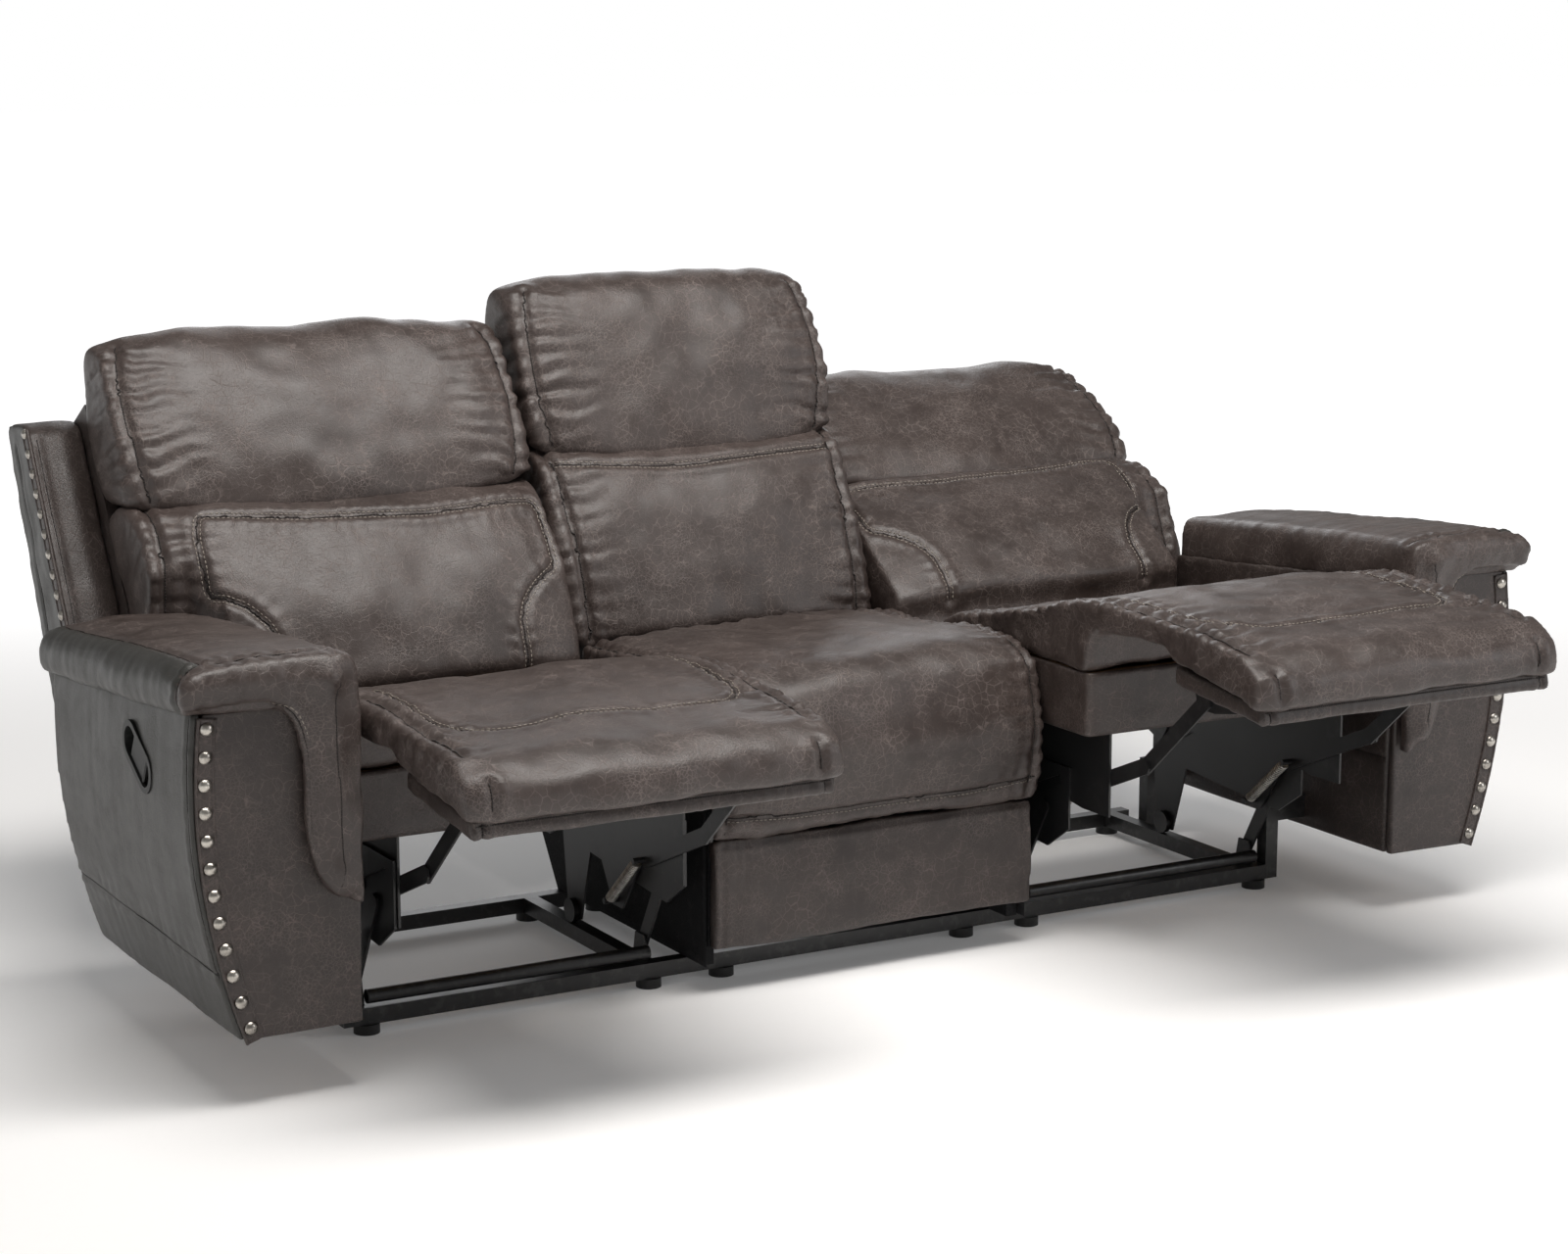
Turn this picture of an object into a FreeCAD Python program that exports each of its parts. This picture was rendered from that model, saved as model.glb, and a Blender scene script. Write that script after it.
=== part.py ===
import FreeCAD, Part
import math
import os

import Sketcher

# Reclining sofa: two outer seats that recline on steel mechanisms, and a fixed centre seat.
# Frame: +Z up, +Y to the back, +X to the sitter's left, origin on the floor under the middle.
# Both footrests are open; the -X seat's back is half way up and the +X seat is fully reclined.

doc = FreeCAD.newDocument("reclining_sofa")
sheet = doc.addObject("Spreadsheet::Sheet", "Sizes")

SIZES = {
    # Base of steel rails on glide feet
    "rail_width": 25.0, "rail_height": 25.0, "foot_height": 15.0, "foot_radius": 20.0,
    "base_front": -160.0, "base_back": 280.0, "base_half": 868.0, "centre_rail": 225.0,
    # Seats across the sofa
    "seat_pitch": 613.0, "box_half": 301.0, "centre_half": 292.0, "board": 20.0,
    # Arms
    "arm_front": -400.0, "arm_back": 222.0, "arm_inner": 926.0, "arm_base": 1112.0,
    "arm_bow": 29.0, "arm_shoulder": 1166.0, "arm_floor_gap": 96.0,
    "arm_top_front": 566.0, "arm_top_back": 518.0, "arm_skin": 14.0, "arm_face": 16.0,
    "pad_outer": 1194.0, "pad_thick": 92.0, "nail_radius": 6.5, "nail_pitch": 39.0,
    "nail_inset": 22.0, "strip_width": 24.0, "strip_thick": 2.5,
    # Release handles
    "bezel_length": 128.0, "bezel_width": 62.0, "bezel_depth": 26.0, "bezel_lip": 9.0,
    "bezel_middle": -190.0, "bezel_rise": 468.0, "bezel_slope": 30.0,
    "lever_gap": 2.5, "lever_thick": 4.0, "lever_hinge": -30.0, "lever_length": 56.0,
    # Reclining seats, with the back half way up
    "box_front": -290.0, "box_depth": 440.0, "box_base": 331.0, "box_height": 99.0,
    "cushion_front_top": 553.0, "cushion_back_top": 466.0,
    "seat_travel": 100.0, "seat_lift": 40.0, "full_tilt": 26.5, "cushion_back": 112.0,
    # Steel plates and links of the mechanisms
    "plate": 4.0, "link_gap": 0.6, "link_width": 26.0, "pin_radius": 5.0, "pin_play": 0.05,
    "mech_inner": 354.0, "mech_outer": 827.0, "seat_plate_base": 192.0, "deck_thick": 9.0,
    "guide_front_y": -150.0, "guide_back_y": 80.0, "guide_rise": 225.0,
    "slot_play": 0.3, "guide_radius": 8.0, "carrier_front": -283.0, "carrier_base": 190.0,
    "carrier_top": 292.0, "roller_y": 100.0, "roller_radius": 20.0, "roller_width": 10.0,
    "swing_pivot_y": -130.0, "swing_pivot_z": 62.0, "swing_top_y": -214.0, "swing_top_z": 214.0,
    "lower_pivot_y": -235.0, "lower_pivot_z": 235.0, "knee_y": -372.0, "knee_z": 292.0,
    "upper_pivot_y": -520.0, "upper_pivot_z": 423.0,
    "tube_radius": 11.0, "tube_wall": 2.0, "tube_rise": 55.0,
    "spring_wire": 3.0, "spring_radius": 7.5, "spring_turns": 24.0, "spring_line": 20.0,
    "spring_top_y": -166.0, "spring_top_z": 206.0, "spring_foot_y": -65.0, "spring_foot_z": 118.0,
    # Footrests
    "rest_flap": 497.0, "rest_half": 280.0, "rest_board": 33.0,
    "rest_back": -481.0, "rest_front": -702.0, "rest_slope": 7.0, "rest_back_top": 478.0,
    # Backs, measured from the recline pivot along and square to the back
    "back_pivot_y": 210.0, "back_pivot_z": 190.0, "back_lean": 30.0,
    "back_inner": 306.0, "back_outer": 1000.0, "wing_outer": 1090.0,
    "back_foot": 248.0, "back_head": 760.0, "back_face": -75.0, "back_rear_foot": 122.0,
    "back_rear_head": 74.0, "panel_thick": 14.0, "wing_face": -30.0, "wing_head": 748.0,
    "lumbar_foot": 197.0, "lumbar_head": 566.0, "lumbar_front": -214.0, "lumbar_tail": 105.0,
    "wing_nail_pitch": 34.5,
    "pillow_foot": 556.0, "pillow_head": 850.0, "pillow_front": -178.0,
    "centre_pivot_y": 330.0, "centre_pivot_z": 215.0, "centre_lean": 22.0,
    # Centre seat
    "centre_front": -243.0, "centre_depth": 413.0, "centre_box_top": 395.0, "centre_cushion_top": 500.0,
    "centre_cushion_lip": 245.0, "apron_base": 70.0,
}


class Size:
    """A length or angle that knows its value and its formula in the sheet."""

    def __init__(self, value, text):
        self.value = value
        self.text = text

    @staticmethod
    def of(other):
        return other if isinstance(other, Size) else Size(float(other), repr(float(other)))

    def __add__(self, other):
        other = Size.of(other)
        return Size(self.value + other.value, f"({self.text} + {other.text})")

    def __sub__(self, other):
        other = Size.of(other)
        return Size(self.value - other.value, f"({self.text} - {other.text})")

    def __mul__(self, other):
        other = Size.of(other)
        return Size(self.value * other.value, f"({self.text} * {other.text})")

    def __truediv__(self, other):
        other = Size.of(other)
        return Size(self.value / other.value, f"({self.text} / {other.text})")

    def __neg__(self):
        return Size(-self.value, f"(0 - {self.text})")

    def __radd__(self, other):
        return Size.of(other) + self

    def __rsub__(self, other):
        return Size.of(other) - self

    def __rmul__(self, other):
        return Size.of(other) * self

    def __float__(self):
        return self.value

    def __lt__(self, other):
        return float(self) < float(other)


class Sheet:
    """The named sizes, each read as a Size."""


S = Sheet()
for row, (name, value) in enumerate(SIZES.items(), 1):
    sheet.set(f"A{row}", name)
    sheet.set(f"B{row}", repr(value))
    sheet.setAlias(f"B{row}", name)
    setattr(S, name, Size(value, f"Sizes.{name}"))
doc.recompute()

nodes = []


def bind(thing, prop, size):
    """Sets a property to a size, and ties it to the sheet."""
    size = Size.of(size)
    holder, _, last = prop.rpartition(".")
    if not holder:
        setattr(thing, last, size.value)
    thing.setExpression(prop, size.text)


def node(name, thing, move=None):
    """Names a finished piece, and puts it in its place."""
    thing.Label = name
    if move is not None:
        thing.Placement = move
    nodes.append((name, thing))
    return thing


def group(name, things, move=None):
    """Several separate solids of one kind under one name."""
    bundle = doc.addObject("Part::Compound", name)
    bundle.Links = things
    return node(name, bundle, move)


def outline(sketch, points, bows=()):
    """Adds a closed outline, counter-clockwise, with each corner tied to the sheet.

    A run named in bows, by the number of the corner that it starts from, is an arc that stands
    out from its chord by that much.
    """
    first = sketch.GeometryCount
    count = len(points)
    points = [(Size.of(across), Size.of(up)) for across, up in points]
    corners = [FreeCAD.Vector(across.value, up.value, 0) for across, up in points]
    bows = dict(bows)
    starts, ends = [], []
    for index in range(count):
        here, there = corners[index], corners[(index + 1) % count]
        rise = float(bows.get(index, 0.0))
        if rise == 0.0:
            sketch.addGeometry(Part.LineSegment(here, there), False)
        else:
            chord = there - here
            outward = FreeCAD.Vector(chord.y, -chord.x, 0).normalize()
            crown = (here + there) * 0.5 + outward * rise
            sketch.addGeometry(Part.Arc(here, crown, there), False)
        starts.append(1 if rise >= 0 else 2)
        ends.append(2 if rise >= 0 else 1)
    for index in range(count):
        after = (index + 1) % count
        joint = (first + index, ends[index], first + after, starts[after])
        sketch.addConstraint(Sketcher.Constraint("Coincident", *joint))
    for index, (across, up) in enumerate(points):
        for kind, size in (("DistanceX", across), ("DistanceY", up)):
            rule = Sketcher.Constraint(kind, -1, 1, first + index, starts[index], size.value)
            number = sketch.addConstraint(rule)
            sketch.setExpression(f"Constraints[{number}]", size.text)
    for index, rise in bows.items():
        rise = Size.of(rise) if float(rise) > 0 else -Size.of(rise)
        here, there = points[index], points[(index + 1) % count]
        run = [there[axis] - here[axis] for axis in (0, 1)]
        chord_squared = run[0] * run[0] + run[1] * run[1]
        radius = (chord_squared / 4 + rise * rise) / (2 * rise)
        number = sketch.addConstraint(Sketcher.Constraint("Radius", first + index, radius.value))
        sketch.setExpression(f"Constraints[{number}]", radius.text)


def ring(sketch, across, up, radius):
    """Adds a circle, its middle and radius tied to the sheet."""
    across, up, radius = Size.of(across), Size.of(up), Size.of(radius)
    middle = FreeCAD.Vector(across.value, up.value, 0)
    circle = sketch.addGeometry(Part.Circle(middle, FreeCAD.Vector(0, 0, 1), radius.value), False)
    rules = (
        (Sketcher.Constraint("DistanceX", -1, 1, circle, 3, across.value), across),
        (Sketcher.Constraint("DistanceY", -1, 1, circle, 3, up.value), up),
        (Sketcher.Constraint("Radius", circle, radius.value), radius),
    )
    for rule, size in rules:
        number = sketch.addConstraint(rule)
        sketch.setExpression(f"Constraints[{number}]", size.text)


def drawing(body, role, start):
    """An empty sketch on one of the body's own planes, start away along its normal."""
    sketch = body.newObject("Sketcher::SketchObject", f"{body.Name}_sketch")
    plane = [item for item in body.Origin.OriginFeatures if item.Role == role][0]
    sketch.AttachmentSupport = [(plane, "")]
    sketch.MapMode = "FlatFace"
    bind(sketch, "AttachmentOffset.Base.z", start)
    return sketch


def padded(name, role, low, high, fill):
    """A body padded from low to high along a plane's normal; fill draws its sketch."""
    body = doc.addObject("PartDesign::Body", name)
    sketch = drawing(body, role, low)
    fill(sketch)
    pad = body.newObject("PartDesign::Pad", f"{name}_pad")
    pad.Profile = sketch
    bind(pad, "Length", high - low)
    return body


def slab(name, points, low, high, holes=(), slots=(), bows=()):
    """A plate with its outline in Y and Z, from low to high along X."""
    low, high = Size.of(low), Size.of(high)
    if high < low:
        low, high = high, low

    def fill(sketch):
        outline(sketch, points, bows)
        for across, up, radius in holes:
            ring(sketch, across, up, radius)
        for corners in slots:
            outline(sketch, corners)

    return padded(name, "YZ_Plane", low, high, fill)


def rod(name, across, up, radius, low, high, bore=None):
    """A round bar or tube along X."""
    low, high = Size.of(low), Size.of(high)
    if high < low:
        low, high = high, low

    def fill(sketch):
        ring(sketch, across, up, radius)
        if bore is not None:
            ring(sketch, across, up, bore)

    return padded(name, "YZ_Plane", low, high, fill)


def box(name, low, high):
    """A box between two corners."""
    low = [Size.of(size) for size in low]
    high = [Size.of(size) for size in high]
    for index in range(3):
        if high[index] < low[index]:
            low[index], high[index] = high[index], low[index]
    block = doc.addObject("Part::Box", name)
    for prop, start, end in zip(("Length", "Width", "Height"), low, high):
        bind(block, prop, end - start)
    for axis, start in zip("xyz", low):
        bind(block, f"Placement.Base.{axis}", start)
    return block


def fuse(name, things):
    """One solid welded from several."""
    joined = doc.addObject("Part::MultiFuse", name)
    joined.Shapes = things
    return joined


def cut(name, base, tool):
    """One solid with another taken away."""
    result = doc.addObject("Part::Cut", name)
    result.Base = base
    result.Tool = tool
    return result


def rectangle(low, high):
    """The four corners of an upright rectangle."""
    return [(low[0], low[1]), (high[0], low[1]), (high[0], high[1]), (low[0], high[1])]


def bar(start, end, width):
    """A straight link outline with cut corners, round two pivots."""
    along = (float(end[0]) - float(start[0]), float(end[1]) - float(start[1]))
    length = math.hypot(*along)
    ahead = (along[0] / length, along[1] / length)
    side = (-ahead[1], ahead[0])
    half, quarter = float(width) / 2, float(width) / 4
    points = []
    for pivot, way in ((end, 1), (start, -1)):
        for forward, sideways in ((quarter, -half), (half, -quarter), (half, quarter), (quarter, half)):
            across = pivot[0] + way * (forward * ahead[0] + sideways * side[0])
            up = pivot[1] + way * (forward * ahead[1] + sideways * side[1])
            points.append((across, up))
    return points


def turned(pivot_y, pivot_z, lean, across=0.0):
    """The place of a piece drawn from a pivot, leaning back by an angle."""
    spin = FreeCAD.Rotation(FreeCAD.Vector(1, 0, 0), -float(lean))
    return FreeCAD.Placement(FreeCAD.Vector(float(across), float(pivot_y), float(pivot_z)), spin)


def shifted(across=0.0, back=0.0, up=0.0):
    """The place of a piece that is only moved."""
    return FreeCAD.Placement(FreeCAD.Vector(float(across), float(back), float(up)), FreeCAD.Rotation())


def cushion(name, points, bows, low, high, rim=0.12, ease=0.3, still=()):
    """A crowned cushion: its side outline, drawn in towards both ends along X.

    rim is how far the ends draw in towards the outline's middle, and ease is how flat their
    bowed runs are beside those of the middle. Corners named in still don't draw in.
    """
    body = doc.addObject("PartDesign::Body", name)
    low, high = Size.of(low), Size.of(high)
    if high < low:
        low, high = high, low
    points = [(Size.of(across), Size.of(up)) for across, up in points]
    middle = [sum((point[axis] for point in points), Size.of(0)) / len(points) for axis in (0, 1)]
    stations = ((0.0, rim, ease), (0.12, rim * 0.2, 0.8), (0.5, 0.0, 1.0), (0.88, rim * 0.2, 0.8),
                (1.0, rim, ease))
    sections = []
    for share, draw, swell in stations:
        section = drawing(body, "YZ_Plane", low + (high - low) * share)
        drawn = []
        for index, point in enumerate(points):
            share = 0.0 if index in still else draw
            drawn.append(tuple(point[axis] + (middle[axis] - point[axis]) * share for axis in (0, 1)))
        outline(section, drawn, [(index, rise * swell) for index, rise in bows])
        sections.append(section)
    loft = body.newObject("PartDesign::AdditiveLoft", f"{name}_loft")
    loft.Profile = sections[0]
    loft.Sections = sections[1:]
    return body


def oval(length, width):
    """The long straight sides of an oval, half as long as its length, and how far its ends bow."""
    return Size.of(length), Size.of(width)


def oval_slab(name, sizes, low, high):
    """An oval plate across a release handle, sloping down to the front."""
    length, width = sizes
    flat = (length - width) / 2
    points = [(-flat, -width / 2), (flat, -width / 2), (flat, width / 2), (-flat, width / 2)]
    ends = width * 0.499
    plate = slab(name, points, low, high, bows=[(1, ends), (3, ends)])
    plate.Placement = turned(S.bezel_middle, S.bezel_rise, -S.bezel_slope)
    return plate


def nail(across, back, up, way):
    """One domed upholstery nail, its dome to the front or out to a side."""
    dome = doc.addObject("Part::Sphere", "nail")
    bind(dome, "Radius", S.nail_radius)
    dome.Angle1 = 15.0
    dome.Angle2 = 90.0
    seat = float(S.nail_radius) * math.sin(math.radians(15.0))
    turns = {
        "front": FreeCAD.Rotation(FreeCAD.Vector(1, 0, 0), 90),
        "left": FreeCAD.Rotation(FreeCAD.Vector(0, 1, 0), -90),
        "right": FreeCAD.Rotation(FreeCAD.Vector(0, 1, 0), 90),
    }
    spot = FreeCAD.Vector(float(across), float(back), float(up))
    outward = turns[way].multVec(FreeCAD.Vector(0, 0, 1))
    dome.Placement = FreeCAD.Placement(spot - outward * seat, turns[way])
    return dome


# Base: a frame of steel rails on round glide feet
rail_top = S.foot_height + S.rail_height
rails = []
for name, back in (("front_rail", S.base_front), ("rear_rail", S.base_back)):
    low = (-S.base_half, back - S.rail_width / 2, S.foot_height)
    rails.append(box(name, low, (S.base_half, back + S.rail_width / 2, rail_top)))
rail_lines = [side * station for side in (-1, 1) for station in (S.mech_inner, S.mech_outer)]
rail_lines += [side * S.centre_rail for side in (-1, 1)]
feet = []
for number, across in enumerate(rail_lines):
    low = (across - S.rail_width / 2, S.base_front + S.rail_width / 2, S.foot_height)
    high = (across + S.rail_width / 2, S.base_back - S.rail_width / 2, rail_top)
    rails.append(box(f"side_rail_{number}", low, high))
    for back in (S.base_front, S.base_back):
        foot = doc.addObject("Part::Cylinder", "foot")
        bind(foot, "Radius", S.foot_radius)
        bind(foot, "Height", S.foot_height)
        bind(foot, "Placement.Base.x", across)
        bind(foot, "Placement.Base.y", back)
        feet.append(foot)
group("glide_feet", feet)

# Steel bars that carry the arms, bent up from the ends of the base
carriers = []
for side in (-1, 1):
    for back, start in ((S.base_front, S.base_half), (S.arm_back - 32, S.mech_outer + S.rail_width / 2)):
        front, rear = back - S.rail_width / 2, back + S.rail_width / 2
        inner, outer = side * (S.base_half - S.rail_width), side * S.base_half
        low, high = S.arm_floor_gap + 20, S.arm_floor_gap + 60
        bars = [box("arm_stand", (inner, front, rail_top), (outer, rear, high)),
                box("arm_reach", (inner, front, low), (side * S.arm_inner, rear, high))]
        if start < S.base_half:
            bars.append(box("arm_root", (side * start, front, S.foot_height), (outer, rear, rail_top)))
        carriers.append(fuse("arm_bracket", bars))
group("arm_brackets", carriers)

# Arms: boards inside, upholstered panels outside, a padded top and a row of nails
frames, outer_panels, inner_panels, front_panels, strips, nails, bezels = [], [], [], [], [], [], []
arm_slope = (S.arm_top_front - S.arm_top_back) / (S.arm_back - S.arm_front)


def arm_top(back, drop=0.0):
    """The height of the arm's sloping top at a distance along it."""
    return S.arm_top_front - (back - S.arm_front) * arm_slope - drop


for side, hand in ((-1, "left"), (1, "right")):
    inside = S.arm_inner + S.arm_skin
    board_front, board_back = S.arm_front + S.arm_face + 1, S.arm_back - S.arm_face - 1
    board_low = S.arm_floor_gap + 2
    far = S.arm_base - S.arm_skin - S.board - 2
    points = [(board_front, board_low), (board_back, board_low),
              (board_back, arm_top(board_back, 1)), (board_front, arm_top(board_front, 1))]
    for near in (inside, far):
        frames.append(slab("arm_wall", points, side * near, side * (near + S.board)))
    for back in (board_front, board_back - S.board):
        frames.append(box("arm_cross", (side * (inside + S.board), back, board_low),
                          (side * far, back + S.board, board_low + 330)))

    def side_profile(sketch):
        low, high = S.arm_floor_gap, arm_top(S.arm_front)
        points = [(side * S.arm_base, low), (side * S.arm_shoulder, high),
                  (side * (S.arm_shoulder - S.arm_skin), high), (side * (S.arm_base - S.arm_skin), low)]
        if side > 0:
            outline(sketch, points, [(0, S.arm_bow), (2, -S.arm_bow)])
        else:
            outline(sketch, points[::-1], [(0, -S.arm_bow), (2, S.arm_bow)])

    skin = padded("arm_side", "XZ_Plane", -(S.arm_back - S.arm_face), -S.arm_front, side_profile)
    lid = slab("arm_side_top", [(S.arm_front - 5, arm_top(S.arm_front - 5, 0.3)),
                                (S.arm_back + 5, arm_top(S.arm_back + 5, 0.3)),
                                (S.arm_back + 5, arm_top(S.arm_front) + 50),
                                (S.arm_front - 5, arm_top(S.arm_front) + 50)],
               side * (S.arm_base - 40), side * (S.arm_shoulder + 60))
    outer_panels.append(cut("arm_outer", skin, lid))

    points = [(S.arm_front + S.arm_face, S.arm_floor_gap), (S.arm_back, S.arm_floor_gap),
              (S.arm_back, arm_top(S.arm_back, 0.3)),
              (S.arm_front + S.arm_face, arm_top(S.arm_front + S.arm_face, 0.3))]
    inner_panels.append(slab("arm_inner_side", points, side * S.arm_inner, side * (inside - 0.3)))

    def front_profile(sketch):
        low, high = S.arm_floor_gap, arm_top(S.arm_front + S.arm_face, 0.3)
        points = [(side * S.arm_inner, low), (side * (S.arm_base - S.arm_skin - 1), low),
                  (side * (S.arm_shoulder - S.arm_skin - 1), high), (side * S.arm_inner, high)]
        if side > 0:
            outline(sketch, points, [(1, S.arm_bow)])
        else:
            outline(sketch, points[::-1], [(1, S.arm_bow)])

    front_panels.append(padded("arm_face", "XZ_Plane", -(S.arm_front + S.arm_face), -S.arm_front,
                               front_profile))

    low_front, low_back = arm_top(S.arm_front - 6), arm_top(S.arm_back - 4)
    points = [(S.arm_front - 6, low_front), (S.arm_back - 4, low_back),
              (S.arm_back - 4, low_back + S.pad_thick * 0.7),
              (S.arm_front - 6, low_front + S.pad_thick * 0.75)]
    pad = cushion(f"{hand}_pad", points, [(1, 8.0), (2, 16.0), (3, 12.0)],
                  side * (S.arm_inner + 4), side * S.pad_outer, 0.1, 0.3)
    points = [(S.arm_front - 26, 276), (S.arm_front - 0.3, 270),
              (S.arm_front - 0.3, arm_top(S.arm_front, 2)), (S.arm_front - 26, arm_top(S.arm_front, 2))]
    roll = cushion(f"{hand}_roll", points, [(3, 6.0)], side * (S.arm_inner + 4), side * (S.arm_inner + 60),
                   0.12, 0.3)
    group(f"{hand}_arm_pad", [pad, roll])

    def edge(rise, inset):
        """A point on the arm's bowed front edge, at a share of its height."""
        share = (rise - S.arm_floor_gap) / (S.arm_top_front - S.arm_floor_gap)
        chord = S.arm_base + (S.arm_shoulder - S.arm_base) * share
        return side * (chord + S.arm_bow * 4 * share * (1 - share) - inset)

    def strip_profile(sketch):
        low, high = S.arm_floor_gap, arm_top(S.arm_front, 0.6)
        wide = S.nail_inset + S.strip_width / 2 + 1
        near = S.nail_inset - S.strip_width / 2 - 1
        points = [(side * (S.arm_base - near), low), (side * (S.arm_shoulder - near), high),
                  (side * (S.arm_shoulder - wide), high), (side * (S.arm_base - wide), low)]
        if side > 0:
            outline(sketch, points, [(0, S.arm_bow), (2, -S.arm_bow)])
        else:
            outline(sketch, points[::-1], [(0, -S.arm_bow), (2, S.arm_bow)])

    strips.append(padded("nail_strip", "XZ_Plane", -S.arm_front, -S.arm_front + S.strip_thick,
                         strip_profile))
    for count in range(12):
        rise = S.arm_floor_gap + 20 + S.nail_pitch * count
        nails.append(nail(edge(rise, S.nail_inset), S.arm_front - S.strip_thick, rise, "front"))

    # The release handle's black cup, let into the outer panel, and the paddle in it
    face = S.arm_shoulder + 10
    outer_oval = oval(S.bezel_length, S.bezel_width)
    inner_oval = oval(S.bezel_length - 2 * S.bezel_lip, S.bezel_width - 2 * S.bezel_lip)
    cup = oval_slab("cup", outer_oval, side * (face - S.bezel_depth), side * face)
    hollow = oval_slab("hollow", inner_oval, side * (face - S.bezel_depth + 3), side * (face + 5))
    bezels.append(cut("bezel", cup, hollow))
    half = S.bezel_width / 2 - S.bezel_lip - S.lever_gap
    low, high = (S.lever_hinge - 4, -half), (S.lever_hinge + S.lever_length, half)
    paddle = slab("paddle", rectangle(low, high), side * (face - 3 - S.lever_thick), side * (face - 3))
    paddle.Placement = turned(S.bezel_middle, S.bezel_rise, -S.bezel_slope)
    pin = doc.addObject("Part::Cylinder", "lever_pin")
    bind(pin, "Radius", S.lever_thick * 0.8)
    bind(pin, "Height", S.bezel_width - 2 * S.bezel_lip - 0.6)
    spot = turned(S.bezel_middle, S.bezel_rise, -S.bezel_slope)
    start = FreeCAD.Vector(side * float(face - 3 - S.lever_thick / 2), float(S.lever_hinge),
                           -float(S.bezel_width / 2 - S.bezel_lip - 0.3))
    pin.Placement = spot.multiply(FreeCAD.Placement(start, FreeCAD.Rotation()))
    node(f"{hand}_release_lever", fuse(f"{hand}_lever", [paddle, pin]))
    socket = oval_slab("socket", oval(S.bezel_length + 0.6, S.bezel_width + 0.6),
                       side * (face - S.bezel_depth - 20), side * (face + 20))
    outer_panels[-1] = cut("arm_outer_cut", outer_panels[-1], socket)

group("arm_frames", frames)
group("arm_outer_panels", outer_panels)
group("arm_inner_panels", inner_panels)
group("arm_front_panels", front_panels)
group("arm_nail_strips", strips)
group("arm_nails", nails)
group("handle_bezels", bezels)


def lean_point(pivot_y, pivot_z, lean, back, up):
    """A point of a leaning back, given along and square to it, in the sofa's own frame."""
    sine, cosine = math.sin(math.radians(float(lean))), math.cos(math.radians(float(lean)))
    return pivot_y + back * cosine + up * sine, pivot_z - back * sine + up * cosine


def spring_strips(half, front, back, rise):
    """Five sprung steel strips across a seat box, from the front board to the back one."""
    made = []
    for share in (-0.8, -0.4, 0.0, 0.4, 0.8):
        points = [(front, rise), (back, rise), (back, rise + 3), (front, rise + 3)]
        middle = half * share
        made.append(slab("seat_spring", points, middle - 20, middle + 20, bows=[(0, -6.0), (2, 6.0)]))
    return made


# Centre seat: side boards that are also its back posts, cross boards, springs and cushions
post = (S.centre_pivot_y, S.centre_pivot_z, S.centre_lean)
box_front, box_back = S.centre_front, S.centre_front + S.centre_depth
side_board = [
    (box_front + S.board, rail_top), (S.base_back + S.rail_width / 2, rail_top),
    lean_point(*post, S.back_rear_foot, S.back_foot), lean_point(*post, S.back_rear_head, S.back_head),
    lean_point(*post, S.back_face + 15, S.back_head),
    lean_point(*post, S.back_face + 15, S.lumbar_tail - 12),
    (box_back, S.centre_box_top - 70), (box_back, S.centre_box_top),
    (box_front + S.board, S.centre_box_top),
]
boards = []
for side in (-1, 1):
    boards.append(slab("centre_side", side_board, side * (S.centre_half - S.board), side * S.centre_half))
inner = S.centre_half - S.board
boards.append(box("centre_front_board", (-S.centre_half, box_front, rail_top + 35),
                  (S.centre_half, box_front + S.board, S.centre_box_top)))
boards.append(box("centre_rear_board", (-inner, box_back - S.board, S.centre_box_top - 120),
                  (inner, box_back, S.centre_box_top)))
group("centre_seat_frame", boards)
group("centre_seat_springs", spring_strips(inner, box_front + S.board, box_back - S.board,
                                           S.centre_box_top - 12))
cushion_back = S.centre_pivot_y - 138
points = [
    (box_front - 42, S.centre_cushion_lip), (box_front - 0.3, S.centre_cushion_lip),
    (box_front - 0.3, S.centre_box_top + 1), (cushion_back, S.centre_box_top + 1),
    (cushion_back, S.centre_cushion_top - 18), (box_front + 50, S.centre_cushion_top),
]
node("centre_seat_cushion", cushion("centre_seat", points, [(4, 12.0), (5, 34.0)],
                                    -(S.centre_half + 4), S.centre_half + 4, 0.05, 0.4, (1, 2, 3)))
points = [
    (box_front - 22, S.apron_base), (box_front - 0.3, S.apron_base),
    (box_front - 0.3, S.centre_cushion_lip - 1), (box_front - 30, S.centre_cushion_lip - 1),
]
node("centre_apron", cushion("apron", points, [(3, 8.0)], -S.centre_half, S.centre_half, 0.1, 0.4))


def rear_edge(up):
    """How far behind its pivot a back's posts end, at a distance up them."""
    share = (up - S.back_foot) / (S.back_head - S.back_foot)
    return S.back_rear_foot + (S.back_rear_head - S.back_rear_foot) * share


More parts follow.
